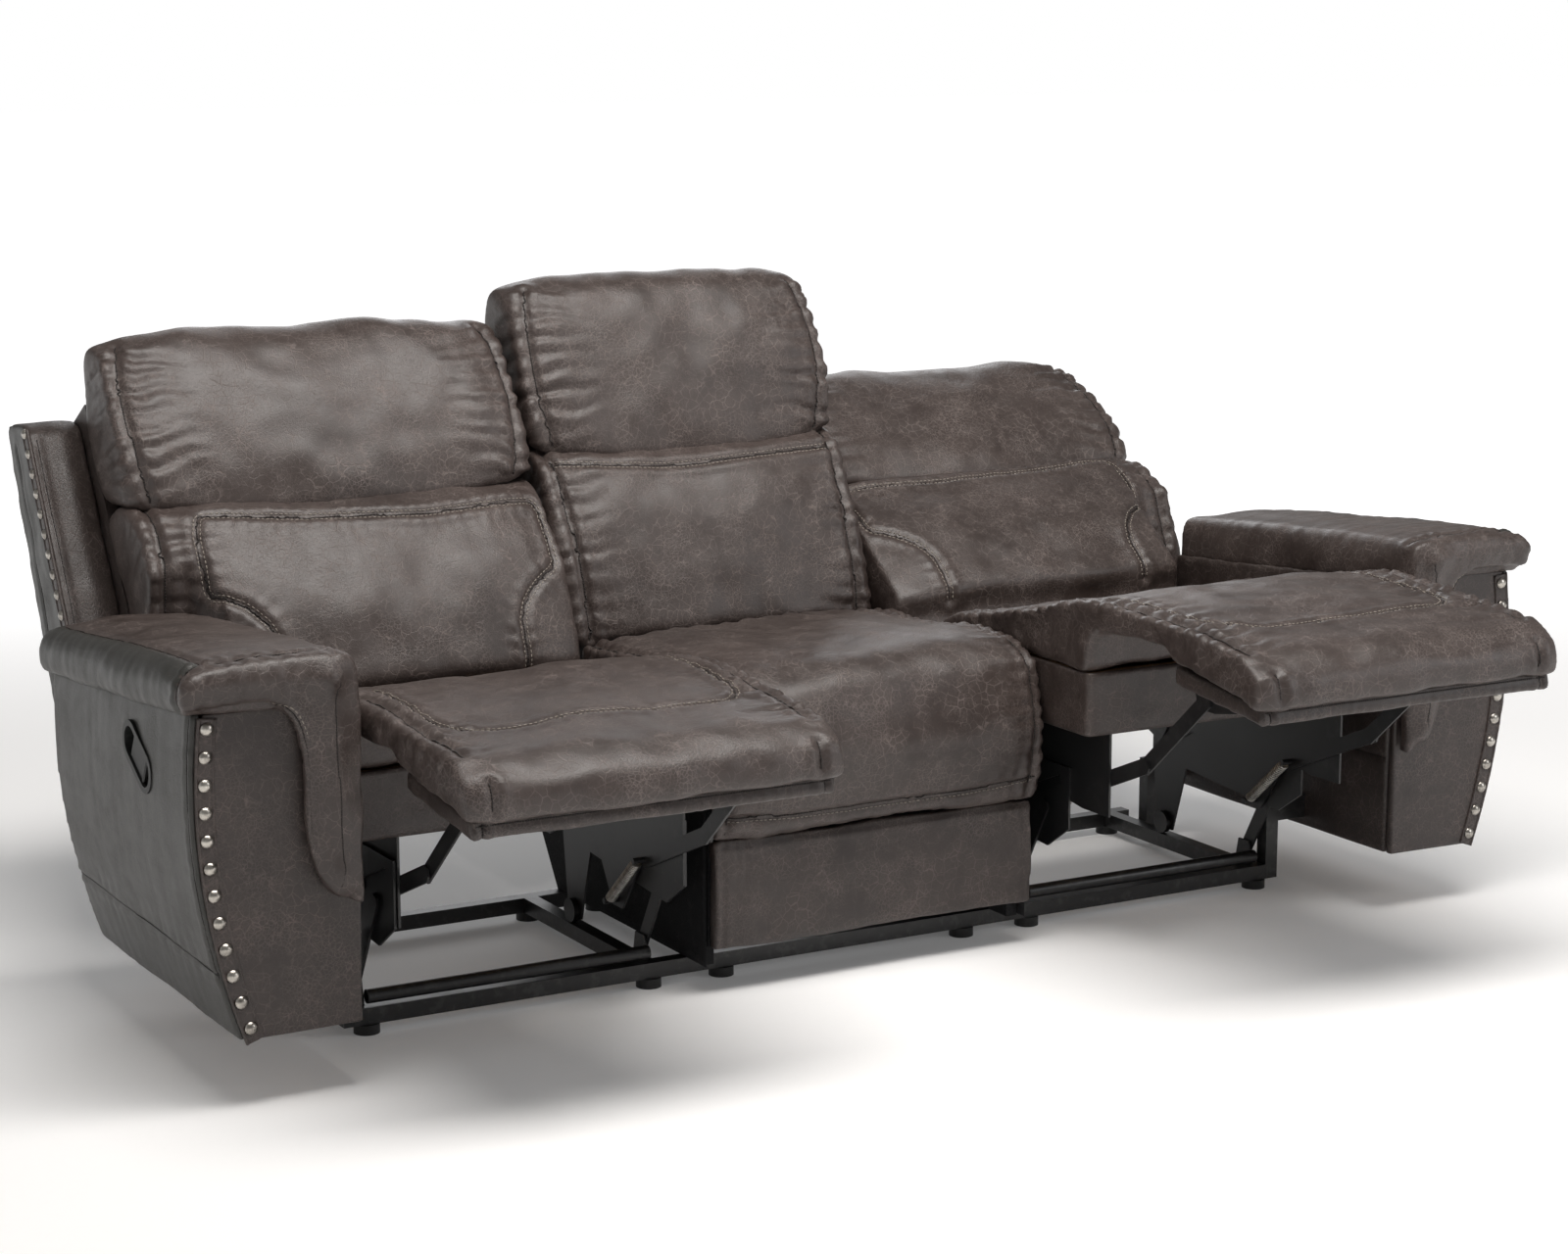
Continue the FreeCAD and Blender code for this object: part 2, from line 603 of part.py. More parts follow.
def back_set(prefix, inner, outer, place, wing=None):
    """The frame frame, cushions and rear panel of one back, drawn up from its pivot."""
    low, high = (inner, outer) if float(inner) < float(outer) else (outer, inner)
    foot, head = S.back_foot, S.back_head
    frame = []
    for name, start, end, rear in (("foot_rail", foot, foot + 50, S.back_rear_foot - 5),
                                   ("head_rail", head - 60, head, S.back_rear_head - 3)):
        frame.append(slab(name, rectangle((S.back_face + 15, start), (rear, end)), low + S.board,
                          high - S.board))
    lumbar = [
        (S.lumbar_front, S.lumbar_foot), (S.lumbar_front + 56, S.lumbar_foot - 11),
        (S.lumbar_front + 99, S.lumbar_tail), (S.back_face - 5, S.lumbar_tail),
        (S.back_face - 3, S.lumbar_foot), (S.back_face + 14, S.lumbar_foot + 60),
        (S.back_face + 14, S.lumbar_head), (S.lumbar_front + 37, S.lumbar_head - 30),
    ]
    pillow = [
        (S.pillow_front, S.pillow_foot + 8), (S.back_face + 14, S.lumbar_head + 4),
        (S.back_face + 14, S.back_head), (S.back_face + 6, S.pillow_head - 20),
        (S.pillow_front + 30, S.pillow_head - 28),
    ]
    panel = [
        (rear_edge(S.back_foot + 12), S.back_foot + 12),
        (rear_edge(S.back_foot + 12) + S.panel_thick, S.back_foot + 12),
        (rear_edge(S.back_head + 28) + S.panel_thick, S.back_head + 28),
        (rear_edge(S.back_head + 28), S.back_head + 28),
    ]
    if wing is None:
        group(f"{prefix}_back_frame", frame, place)
    else:
        post = [(S.back_face + 15, foot), (S.back_rear_foot, foot), (S.back_rear_head, head),
                (S.back_face + 15, head)]
        frame.append(slab("post", post, low, low + S.board))
        frame.append(slab("post", post, high - S.board, high))
        group(f"{prefix}_back_frame", frame, place)
    soft = cushion(f"{prefix}_lumbar", lumbar, [(7, 16.0)], low + 1, high - 1, 0.1, 0.3)
    if wing is not None:
        # Beside the arm the cushion's lower corner is cut back, so that it passes behind the arm
        front = S.lumbar_front - 60
        notch = [(front, S.lumbar_tail - 15), (S.back_face + 56, S.lumbar_tail - 15),
                 (S.lumbar_front + 27, S.lumbar_foot + 195), (front, S.lumbar_foot + 195)]
        soft = cut(f"{prefix}_lumbar_cut", soft,
                   slab(f"{prefix}_notch", notch, wing * (S.arm_inner - 4), wing * (S.wing_outer + 10)))
    node(f"{prefix}_lumbar_cushion", soft, place)
    node(f"{prefix}_headrest",
         cushion(f"{prefix}_pillow", pillow, [(3, 16.0), (4, 12.0)], low + 1, high - 1, 0.12, 0.3), place)
    node(f"{prefix}_back_panel", slab(f"{prefix}_rear", panel, low, high), place)


back_set("centre", -S.centre_half, S.centre_half, turned(*post))


def helix_point(pitch, radius, quarter):
    """A point and the heading of a helix round Z, a number of quarter turns along it."""
    angle = quarter * math.pi / 2
    rise = pitch / (2 * math.pi)
    point = FreeCAD.Vector(radius * math.cos(angle), radius * math.sin(angle), rise * angle)
    heading = FreeCAD.Vector(-radius * math.sin(angle), radius * math.cos(angle), rise)
    return point, heading.normalize()


def tangent_arc(start, heading, end):
    """The arc that leaves start along heading and reaches end."""
    chord = end - start
    along = FreeCAD.Vector(chord).normalize()
    sideways = (heading - along * heading.dot(along)).normalize()
    angle = math.acos(heading.dot(along))
    crown = (start + end) * 0.5 + sideways * (chord.Length / 2 * math.tan(angle / 2))
    return Part.Arc(start, crown, end)


def coil(turns, pitch, radius, wire):
    """A tension spring round Z: one unbroken wire, on two arcs for each quarter turn."""
    edges = []
    for quarter in range(turns * 4):
        start, leaving = helix_point(pitch, radius, quarter)
        end, arriving = helix_point(pitch, radius, quarter + 1)
        gap, both = end - start, leaving + arriving
        spare = 2 * (1 - leaving.dot(arriving))
        reach = (math.sqrt(gap.dot(both) ** 2 + spare * gap.dot(gap)) - gap.dot(both)) / spare
        joint = (start + leaving * reach + end - arriving * reach) * 0.5
        edges.append(tangent_arc(start, leaving, joint).toShape())
        edges.append(tangent_arc(end, arriving * -1, joint).toShape())
    start, leaving = helix_point(pitch, radius, 0)
    section = Part.Wire(Part.Circle(start, leaving, wire / 2).toShape())
    shell = Part.BRepOffsetAPI.MakePipeShell(Part.Wire(Part.sortEdges(edges)[0]))
    shell.add(section)
    shell.build()
    shell.makeSolid()
    return shell.shape()


def line_x(line, offset):
    """Where a plate of a mechanism lies along X: outward is away from the mechanism's middle."""
    side, edge = line
    station = S.mech_outer if edge > 0 else S.mech_inner
    return side * (station + edge * offset)


def mech_slab(name, points, line, low, high, **extra):
    """A steel plate or link of a mechanism, between two offsets from its rail's middle."""
    return slab(name, points, line_x(line, low), line_x(line, high), **extra)


def studs(line, plate, places, radius, low, high):
    """A plate with welded studs, as one solid."""
    made = [plate]
    for place in places:
        made.append(rod("stud", place[0], place[1], radius, line_x(line, low), line_x(line, high)))
    return fuse("welded", made)


layer = S.plate + S.link_gap
carrier_low = -S.link_gap
seat_plate_low = carrier_low - layer
lower_low = seat_plate_low - layer
upper_low = lower_low - layer
bracket_low = upper_low - layer
swing_low = carrier_low + layer
lower_pivot = (S.lower_pivot_y, S.lower_pivot_z)
upper_pivot = (S.upper_pivot_y, S.upper_pivot_z)
knee = (S.knee_y, S.knee_z)
swing_pivot = (S.swing_pivot_y, S.swing_pivot_z)
swing_top = (S.swing_top_y, S.swing_top_z)
guides = [(S.guide_front_y, S.guide_rise), (S.guide_back_y, S.guide_rise)]
hole = S.pin_radius + S.pin_play
spring_top = (S.spring_top_y, S.spring_top_z)
spring_foot = (S.spring_foot_y, S.spring_foot_z)
peg_low = -(S.spring_line + S.spring_radius + 2)
seat_gap = 0.3
run = FreeCAD.Vector(0, *[float(spring_foot[axis] - spring_top[axis]) for axis in (0, 1)])
heading = FreeCAD.Vector(run).normalize()
pitch = (run.Length - float(2 * S.pin_radius + S.spring_wire) - 2 * seat_gap) / float(S.spring_turns)
rest_fall = math.tan(math.radians(float(S.rest_slope)))


def slot(start):
    """The slot that a guide stud runs in, from half way up to fully reclined."""
    reach = S.guide_radius + S.slot_play
    run = (-float(S.seat_travel), float(S.seat_lift))
    length = math.hypot(*run)
    ahead = (run[0] / length, run[1] / length)
    side = (-ahead[1], ahead[0])
    end = (start[0] - S.seat_travel, start[1] + S.seat_lift)
    corners = []
    for place, way, across in ((start, -1, -1), (start, -1, 1), (end, 1, 1), (end, 1, -1)):
        corners.append(tuple(place[axis] + reach * (way * ahead[axis] + across * side[axis])
                             for axis in (0, 1)))
    return corners[::-1]


def board_under(back):
    """The underside of the footrest board at a distance to the back."""
    return S.rest_back_top - S.rest_board - (S.rest_back - back) * rest_fall


for side, hand in ((-1, "left"), (1, "right")):
    full = side > 0
    seat_place = shifted(0, -S.seat_travel if full else 0, S.seat_lift if full else 0)
    middle = S.seat_pitch
    tilt = S.back_lean + (S.full_tilt if full else 0)
    pivot = (S.back_pivot_y - (S.seat_travel if full else 0), S.back_pivot_z + (S.seat_lift if full else 0))
    back_place = turned(*pivot, tilt)

    # Seat box, its springs and its half of the long cushion
    low_x, high_x = side * (middle - S.box_half), side * (middle + S.box_half)
    near, far = side * (middle - S.box_half + S.board), side * (middle + S.box_half - S.board)
    box_back, box_top = S.box_front + S.box_depth, S.box_base + S.box_height
    boards = [
        box("front_board", (low_x, S.box_front, S.box_base), (high_x, S.box_front + S.board, box_top)),
        box("near_board", (low_x, S.box_front + S.board, S.box_base), (near, box_back, box_top)),
        box("far_board", (far, S.box_front + S.board, S.box_base), (high_x, box_back, box_top)),
        box("rear_board", (near, box_back - S.board, S.box_base), (far, box_back, box_top)),
        box("deck", (near, S.box_front + S.board, S.box_base),
            (far, box_back - S.board, S.box_base + S.deck_thick)),
    ]
    group(f"{hand}_seat_frame", boards, seat_place)
    strips = spring_strips(S.box_half - S.board, S.box_front + S.board, box_back - S.board, box_top - 12)
    for strip in strips:
        strip.Placement.Base.x = side * float(middle)
    group(f"{hand}_seat_springs", strips, seat_place)
    points = [
        (S.box_front, box_top + 1), (box_back - 4, box_top + 1), (box_back - 4, box_top + 8),
        (S.cushion_back, S.cushion_back_top - 4), (S.box_front, S.cushion_front_top),
    ]
    node(f"{hand}_seat_cushion", cushion(f"{hand}_seat", points, [(3, 14.0)], low_x, high_x, 0.06, 0.3),
         seat_place)

    # Footrest: an upholstered board, and the cushion's front half, which hangs from the seat
    rest_low, rest_high = side * (middle - S.rest_half), side * (middle + S.rest_half)
    points = [
        (S.rest_front, board_under(S.rest_front)), (S.rest_back, board_under(S.rest_back)),
        (S.rest_back, board_under(S.rest_back) + S.rest_board),
        (S.rest_front, board_under(S.rest_front) + S.rest_board),
    ]
    node(f"{hand}_footrest_board", slab(f"{hand}_board", points, rest_low, rest_high), seat_place)
    front_top = board_under(S.rest_front) + S.rest_board
    points = [
        (S.rest_front - 6, front_top + 0.6), (S.rest_back, S.rest_back_top + 0.6),
        (S.rest_back + 12, S.rest_flap), (S.box_front - 4, S.rest_flap),
        (S.box_front - 4, S.cushion_front_top - 2), (S.rest_front + 24, front_top + 62),
    ]
    node(f"{hand}_footrest_pad",
         cushion(f"{hand}_rest", points, [(4, 10.0), (5, 12.0)], rest_low, rest_high, 0.06, 0.3), seat_place)

    seat_plates, carriers, rests, lowers, uppers, swings, tilts, coils = ([] for _ in range(8))
    for edge in (-1, 1):
        line = (side, edge)
        plate_points = [
            (S.box_front + 2, S.seat_plate_base), (S.box_front + 75, S.seat_plate_base),
            (S.guide_front_y, S.guide_rise - 24), (S.spring_foot_y - 16, S.spring_foot_z - 12),
            (S.spring_foot_y + 16, S.spring_foot_z - 12), (S.guide_back_y - 70, S.guide_rise - 24),
            (S.guide_back_y + 40, S.guide_rise - 24),
            (S.back_pivot_y - 30, S.back_pivot_z - 20), (S.back_pivot_y + 22, S.back_pivot_z - 20),
            (S.back_pivot_y + 22, S.back_pivot_z + 24), (box_back + 10, S.box_base),
            (S.box_front + 2, S.box_base),
        ]
        plate = mech_slab("seat_plate", plate_points, line, seat_plate_low, seat_plate_low + S.plate,
                          holes=[(*lower_pivot, hole), (S.back_pivot_y, S.back_pivot_z, hole)])
        plate = studs(line, plate, guides, S.guide_radius, seat_plate_low + S.plate,
                      carrier_low + S.plate - 0.4)
        seat_plates.append(studs(line, plate, [spring_foot], S.pin_radius, peg_low, seat_plate_low))

        carrier_points = [
            (S.carrier_front, S.carrier_base), (S.carrier_front + 60, S.carrier_base - 40),
            (S.roller_y - 60, S.carrier_base - 20), (S.roller_y - 22, rail_top + 8),
            (S.roller_y + 22, rail_top + 8), (S.roller_y + 40, S.carrier_base),
            (S.roller_y + 40, S.carrier_top - 30), (S.carrier_front + 120, S.carrier_top),
            (S.carrier_front, S.carrier_top),
        ]
        plate = mech_slab("carrier_plate", carrier_points, line, carrier_low, carrier_low + S.plate,
                          slots=[slot(guides[0]), slot(guides[1])])
        roller = rod("roller", S.roller_y, rail_top + S.roller_radius + 0.3, S.roller_radius,
                     line_x(line, carrier_low - S.roller_width), line_x(line, carrier_low))
        carriers.append(fuse("carrier", [plate, roller]))

        rest_points = [
            (S.upper_pivot_y - 20, board_under(S.upper_pivot_y - 20) - 30),
            (S.upper_pivot_y + 22, board_under(S.upper_pivot_y + 22) - 34),
            (S.rest_back - 6, board_under(S.rest_back - 6)),
            (S.upper_pivot_y - 120, board_under(S.upper_pivot_y - 120)),
        ]
        plate = mech_slab("rest_bracket", rest_points, line, bracket_low, bracket_low + S.plate)
        rests.append(studs(line, plate, [upper_pivot], S.pin_radius, bracket_low + S.plate,
                           upper_low + S.plate - 0.1))
        uppers.append(mech_slab("upper_link", bar(upper_pivot, knee, S.link_width), line, upper_low,
                                upper_low + S.plate, holes=[(*upper_pivot, hole)]))
        link = mech_slab("lower_link", bar(spring_top, knee, S.link_width), line, lower_low,
                         lower_low + S.plate)
        link = studs(line, link, [lower_pivot], S.pin_radius, lower_low + S.plate,
                     seat_plate_low + S.plate - 0.1)
        lowers.append(studs(line, link, [spring_top], S.pin_radius, peg_low, lower_low))

        stand = [
            (S.swing_pivot_y - 22, rail_top), (S.swing_pivot_y + 22, rail_top),
            (S.swing_pivot_y + 14, S.swing_pivot_z + 16), (S.swing_pivot_y - 14, S.swing_pivot_z + 16),
        ]
        rails.append(mech_slab("stand", stand, line, carrier_low, carrier_low + S.plate,
                                  holes=[(*swing_pivot, hole)]))
        link = mech_slab("swing_link", bar(swing_pivot, swing_top, S.link_width), line, swing_low,
                         swing_low + S.plate)
        swings.append(studs(line, link, [swing_pivot], S.pin_radius, swing_low, carrier_low + 0.1))

        tilt_points = [(-18, -16), (18, -16), (60, S.back_foot), (-40, S.back_foot), (-22, 60)]
        plate = mech_slab("tilt_plate", tilt_points, line, lower_low, lower_low + S.plate)
        tilts.append(studs(line, plate, [(0, 0)], S.pin_radius, lower_low + S.plate,
                           seat_plate_low + S.plate - 0.1))

        wound = doc.addObject("Part::Feature", "wound_spring")
        wound.Shape = coil(int(float(S.spring_turns)), pitch, float(S.spring_radius), float(S.spring_wire))
        top = FreeCAD.Vector(float(line_x(line, -S.spring_line)), float(S.spring_top_y),
                             float(S.spring_top_z))
        start = top + heading * (float(S.pin_radius + S.spring_wire / 2) + seat_gap)
        wound.Placement = FreeCAD.Placement(start, FreeCAD.Rotation(FreeCAD.Vector(0, 0, 1), heading))
        coils.append(wound)
    rails.append(rod("cross_tube", S.base_front, S.tube_rise, S.tube_radius,
                     line_x((side, -1), carrier_low), line_x((side, 1), carrier_low),
                     S.tube_radius - S.tube_wall))
    group(f"{hand}_seat_plates", seat_plates, seat_place)
    group(f"{hand}_carrier_plates", carriers)
    group(f"{hand}_footrest_brackets", rests, seat_place)
    group(f"{hand}_upper_links", uppers, seat_place)
    group(f"{hand}_lower_links", lowers, seat_place)
    group(f"{hand}_swing_links", swings)
    group(f"{hand}_back_brackets", tilts, back_place)
    group(f"{hand}_tension_springs", coils, seat_place)

    # Back: frame, cushions, rear panel, and a wing outside them with its own row of nails
    back_set(hand, side * S.back_inner, side * S.back_outer, back_place, side)
    wing = [
        (S.wing_face, S.back_foot + 12),
        (rear_edge(S.back_foot + 12) + S.panel_thick, S.back_foot + 12),
        (rear_edge(S.back_head + 28) + S.panel_thick, S.back_head + 28),
        (S.back_rear_head - 20, S.back_head + 26),
        (S.wing_face, S.wing_head),
    ]
    node(f"{hand}_wing", slab(f"{hand}_wing_body", wing, side * (S.back_outer + 0.6), side * S.wing_outer,
                              bows=[(4, 6.0)]), back_place)
    row = []
    for count in range(12):
        up = S.wing_head - 14 - S.wing_nail_pitch * count
        row.append(nail(side * S.wing_outer, S.wing_face + 12, up, hand))
    group(f"{hand}_wing_nails", row, back_place)

group("base_rails", rails)


# Every piece has to be sound before any of them is written
doc.recompute()
faults = [item.Name for item in doc.Objects if "Invalid" in item.State or "Error" in item.State]
for name, thing in nodes:
    if thing.Shape.isNull() or not thing.Shape.isValid() or not thing.Shape.Solids:
        faults.append(name)
if faults:
    raise SystemExit(f"not sound: {faults}")
os.makedirs("parts", exist_ok=True)
for name, thing in nodes:
    thing.Shape.exportStep(f"parts/{name}.step")
    print(name, len(thing.Shape.Solids), round(thing.Shape.Volume / 1000), "cm3")
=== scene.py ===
import bpy
import bmesh
import math
import numpy as np
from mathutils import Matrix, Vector, noise
from mathutils.bvhtree import BVHTree


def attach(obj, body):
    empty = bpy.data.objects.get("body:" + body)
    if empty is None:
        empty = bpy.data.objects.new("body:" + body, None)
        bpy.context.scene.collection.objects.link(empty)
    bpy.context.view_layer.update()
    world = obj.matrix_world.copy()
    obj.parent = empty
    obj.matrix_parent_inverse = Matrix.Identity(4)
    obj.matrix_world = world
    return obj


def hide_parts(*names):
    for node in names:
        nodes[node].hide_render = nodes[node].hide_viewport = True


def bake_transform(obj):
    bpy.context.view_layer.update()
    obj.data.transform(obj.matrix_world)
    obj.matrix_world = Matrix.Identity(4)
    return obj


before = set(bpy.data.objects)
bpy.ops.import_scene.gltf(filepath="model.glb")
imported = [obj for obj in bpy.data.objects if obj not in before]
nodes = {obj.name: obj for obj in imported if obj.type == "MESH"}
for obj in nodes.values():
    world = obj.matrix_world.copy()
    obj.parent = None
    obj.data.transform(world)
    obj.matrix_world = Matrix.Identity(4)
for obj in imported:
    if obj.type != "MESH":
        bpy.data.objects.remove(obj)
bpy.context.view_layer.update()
scene = bpy.context.scene

# The studio: a plain white floor, seen from the sitter's right at standing height. Its paper glows with painted
# light, faint near the sofa and bright further out. One long soft box hangs over the seats, and weaker ones stand to
# the left, to the right and behind. The room itself is dim and white.
camera = bpy.data.objects.new("camera", bpy.data.cameras.new("camera"))
scene.collection.objects.link(camera)
scene.camera = camera
camera.location = (-2.6115, -4.5556, 1.5143)
camera.rotation_euler = (math.radians(90 - 10.817), 0, math.radians(-29.639))
camera.data.sensor_width = 36
camera.data.lens = 75.41
scene.view_settings.view_transform = "Standard"

scene.world = scene.world or bpy.data.worlds.new("studio")
scene.world.use_nodes = True
room = scene.world.node_tree
lit = room.nodes["Background"]
lit.inputs["Color"].default_value = (1.0, 0.985, 0.97, 1)
lit.inputs["Strength"].default_value = 0.22
white = room.nodes.new("ShaderNodeBackground")
white.inputs["Color"].default_value = (1, 1, 1, 1)
seen = room.nodes.new("ShaderNodeLightPath")
either = room.nodes.new("ShaderNodeMixShader")
room.links.new(seen.outputs["Is Camera Ray"], either.inputs[0])
room.links.new(lit.outputs[0], either.inputs[1])
room.links.new(white.outputs[0], either.inputs[2])
room.links.new(either.outputs[0], room.nodes["World Output"].inputs["Surface"])


def soft_box(name, place, aim, width, height, watts, tint):
    """A large diffused lamp, turned towards the sofa."""
    lamp = bpy.data.lights.new(name, "AREA")
    lamp.shape = "RECTANGLE"
    lamp.size, lamp.size_y = width, height
    lamp.energy = watts
    lamp.color = tint
    stand = bpy.data.objects.new(name, lamp)
    scene.collection.objects.link(stand)
    stand.location = place
    stand.rotation_euler = (Vector(aim) - Vector(place)).to_track_quat("-Z", "Y").to_euler()


soft_box("key_box", (-0.1, -1.15, 3.5), (0.1, 0.0, 0.5), 3.4, 1.2, 140, (1.0, 0.965, 0.93))
soft_box("side_box", (-4.2, -1.4, 1.9), (-0.4, 0, 0.5), 1.4, 2.0, 4, (0.96, 0.975, 1.0))
soft_box("rear_box", (1.8, 4.2, 2.4), (0, 0.4, 0.5), 3.0, 1.6, 45, (0.97, 0.98, 1.0))
soft_box("fill_box", (3.2, -3.2, 2.0), (0.4, 0, 0.4), 1.8, 1.8, 34, (0.97, 0.98, 1.0))

sweep_mesh = bpy.data.meshes.new("studio_sweep")
floor_half, floor_low = 40, -0.0005
sweep_mesh.from_pydata([(x * floor_half, y * floor_half, floor_low) for x, y in ((-1, -1), (1, -1), (1, 1), (-1, 1))],
                       [], [(0, 1, 2, 3)])
sweep = bpy.data.objects.new("studio_sweep", sweep_mesh)
scene.collection.objects.link(sweep)


# Base: a ladder of welded steel rails on four round glides, with the cross tubes the mechanisms turn on.
# The steel is sprayed satin black, the glides are moulded plastic. Both come ready shaped, so they get their
# finishes here, with dust, brushed-on grain and rubbed edges.
class Strand:
    """One output in a finish, on which sums are written as plain maths."""

    def __init__(self, finish, socket):
        self.finish = finish
        self.socket = socket

    def work(self, operation, first, second):
        return self.finish.add("ShaderNodeMath", {"operation": operation}, {0: first, 1: second})

    def __add__(self, other):
        return self.work("ADD", self, other)

    def __radd__(self, other):
        return self.work("ADD", other, self)

    def __sub__(self, other):
        return self.work("SUBTRACT", self, other)

    def __rsub__(self, other):
        return self.work("SUBTRACT", other, self)

    def __mul__(self, other):
        return self.work("MULTIPLY", self, other)

    def __rmul__(self, other):
        return self.work("MULTIPLY", other, self)


class Finish:
    """A finish on one principled shader, laid on in object space so that it moves with its piece."""

    def __init__(self, name, constants):
        self.material = bpy.data.materials.new(name)
        self.material.use_nodes = True
        self.tree = self.material.node_tree
        self.shader = self.tree.nodes["Principled BSDF"]
        for socket, value in constants.items():
            self.shader.inputs[socket].default_value = value
        self.place = self.add("ShaderNodeTexCoord", {}, {}, "Object")

    def add(self, kind, settings, sockets, out=0):
        made = self.tree.nodes.new(kind)
        for key, value in settings.items():
            if key == "stops":
                ramp = made.color_ramp
                while len(ramp.elements) < len(value):
                    ramp.elements.new(0.5)
                for stop, (position, color) in zip(ramp.elements, value):
                    stop.position, stop.color = position, (*color, 1)
            else:
                setattr(made, key, value)
        for socket, value in sockets.items():
            if isinstance(value, Strand):
                self.tree.links.new(value.socket, made.inputs[socket])
            elif isinstance(value, tuple) and len(made.inputs[socket].default_value) == 4:
                made.inputs[socket].default_value = (*value, 1)
            else:
                made.inputs[socket].default_value = value
        return Strand(self, made.outputs[out])

    def clouds(self, scale, detail=4.0, rough=0.6, place=None):
        return self.add("ShaderNodeTexNoise", {}, {"Vector": place or self.place, "Scale": scale,
                                                   "Detail": detail, "Roughness": rough})

    def step(self, value, low, high, first=0.0, last=1.0):
        return self.add("ShaderNodeMapRange", {"interpolation_type": "SMOOTHSTEP"},
                        {0: value, 1: low, 2: high, 3: first, 4: last})

    def tint(self, mask, first, last):
        return self.add("ShaderNodeMix", {"data_type": "RGBA"}, {0: mask, 6: first, 7: last}, 2)

    def wear(self, color, roughness, relief, distance, strength=1.0):
        bump = self.add("ShaderNodeBump", {}, {"Height": relief, "Distance": distance, "Strength": strength})
        self.tree.links.new(color.socket, self.shader.inputs["Base Color"])
        self.tree.links.new(roughness.socket, self.shader.inputs["Roughness"])
        self.tree.links.new(bump.socket, self.shader.inputs["Normal"])
        return self.material


def sprayed_steel(name, deep, bare):
    """Satin black paint with orange peel, a film of dust and bare steel rubbed through on edges."""
    finish = Finish(name, {"Specular IOR Level": 0.5, "Coat Weight": 0.12, "Coat Roughness": 0.3})
    peel = finish.clouds(420, 2, 0.5)
    dust = finish.step(finish.clouds(14, 6, 0.7), 0.45, 0.75)
    corners = finish.add("ShaderNodeNewGeometry", {}, {}, "Pointiness")
    rubbed = finish.step(corners, 0.56, 0.66) * finish.step(finish.clouds(60, 4), 0.5, 0.66) * 0.12
    color = finish.tint(rubbed, finish.tint(dust, deep, tuple(1.5 * part + 0.002 for part in deep)), bare)
    return finish.wear(color, 0.34 + dust * 0.1 + peel * 0.08, peel, 0.0003, 0.4)


def moulded(name, deep, pale):
    """Injection moulded plastic with a fine spark-eroded texture and scuffed high spots."""
    finish = Finish(name, {"Specular IOR Level": 0.45})
    grain = finish.clouds(1600, 2, 0.5)
    scuffs = finish.step(finish.clouds(70, 6, 0.75), 0.55, 0.7)
    return finish.wear(finish.tint(scuffs * 0.5 + grain * 0.2, deep, pale), 0.42 + grain * 0.16 + scuffs * 0.08,
                       grain, 0.0002, 0.4)


def plated(name, deep, bright, rough):
    """Bright plating over steel, with drawn lines and a faint cloud of tarnish."""
    finish = Finish(name, {"Metallic": 1.0})
    tarnish = finish.clouds(55, 5, 0.7)
    lines = finish.clouds(900, 3, 0.6)
    color = finish.tint(finish.step(tarnish, 0.3, 0.7), deep, bright)
    return finish.wear(color, rough + tarnish * 0.14 + lines * 0.05, lines, 0.0001, 0.4)


def refinish(material, *slots):
    """Gives the finished look to every carried-over steel, plastic or wood piece of these slots."""
    for piece in nodes.values():
        for place in piece.material_slots:
            if place.material and place.material.name.split(".")[0] in slots:
                place.material = material


black_paint = sprayed_steel("sprayed_black_steel", (0.0085, 0.0085, 0.009), (0.16, 0.155, 0.15))
black_plastic = moulded("moulded_black_plastic", (0.009, 0.009, 0.009), (0.03, 0.03, 0.03))
refinish(black_paint, "black_steel")
refinish(black_plastic, "black_plastic")
refinish(plated("zinc_plated_wire", (0.28, 0.27, 0.25), (0.62, 0.6, 0.56), 0.24), "zinc_wire")
refinish(plated("drawn_spring_steel", (0.09, 0.09, 0.088), (0.2, 0.195, 0.19), 0.34), "spring_steel")
nickel = plated("domed_nickel", (0.27, 0.25, 0.225), (0.56, 0.53, 0.48), 0.2)
refinish(nickel, "nail_nickel")

# Painted light: the floor paper glows, barely within 1.6 m of the sofa and rising to nearly white by 5.5 m out.
floor_paper = Finish("studio_paper", {"Specular IOR Level": 0.0, "Emission Strength": 1.0})
tooth = floor_paper.clouds(60, 4)
away = floor_paper.add("ShaderNodeVectorMath", {"operation": "LENGTH"}, {0: floor_paper.place}, "Value")
painted_floor_glow = floor_paper.tint(floor_paper.step(away, 1.6, 5.5), (0.08, 0.08, 0.08), (0.86, 0.86, 0.86))
floor_paper.tree.links.new(painted_floor_glow.socket, floor_paper.shader.inputs["Emission Color"])
sweep_mesh.materials.append(floor_paper.wear(floor_paper.tint(tooth, (0.9, 0.9, 0.9), (0.94, 0.94, 0.94)),
                                             0.7 + tooth * 0.1, tooth, 0.0001, 0.1))


# Frames: sawn hardwood boards, screwed and stapled, mostly hidden under the covers. Raw edges show under the seats.
def sawn_wood(name, pale, dark):
    """Raw pale timber with its grain lines drawn out along the boards, darkened by handling."""
    finish = Finish(name, {"Specular IOR Level": 0.3})
    along = finish.add("ShaderNodeMapping", {}, {"Vector": finish.place, "Scale": (4.0, 22.0, 90.0)})
    rings = finish.clouds(1.0, 8, 0.65, along)
    soil = finish.clouds(7, 5)
    color = finish.tint(finish.step(rings, 0.35, 0.68), pale, dark)
    return finish.wear(finish.tint(finish.step(soil, 0.5, 0.8) * 0.5, color, (0.12, 0.08, 0.05)),
                       0.62 + rings * 0.2, rings, 0.0006, 0.6)


timber = sawn_wood("sawn_hardwood", (0.42, 0.27, 0.15), (0.25, 0.145, 0.075))
refinish(timber, "hardwood")


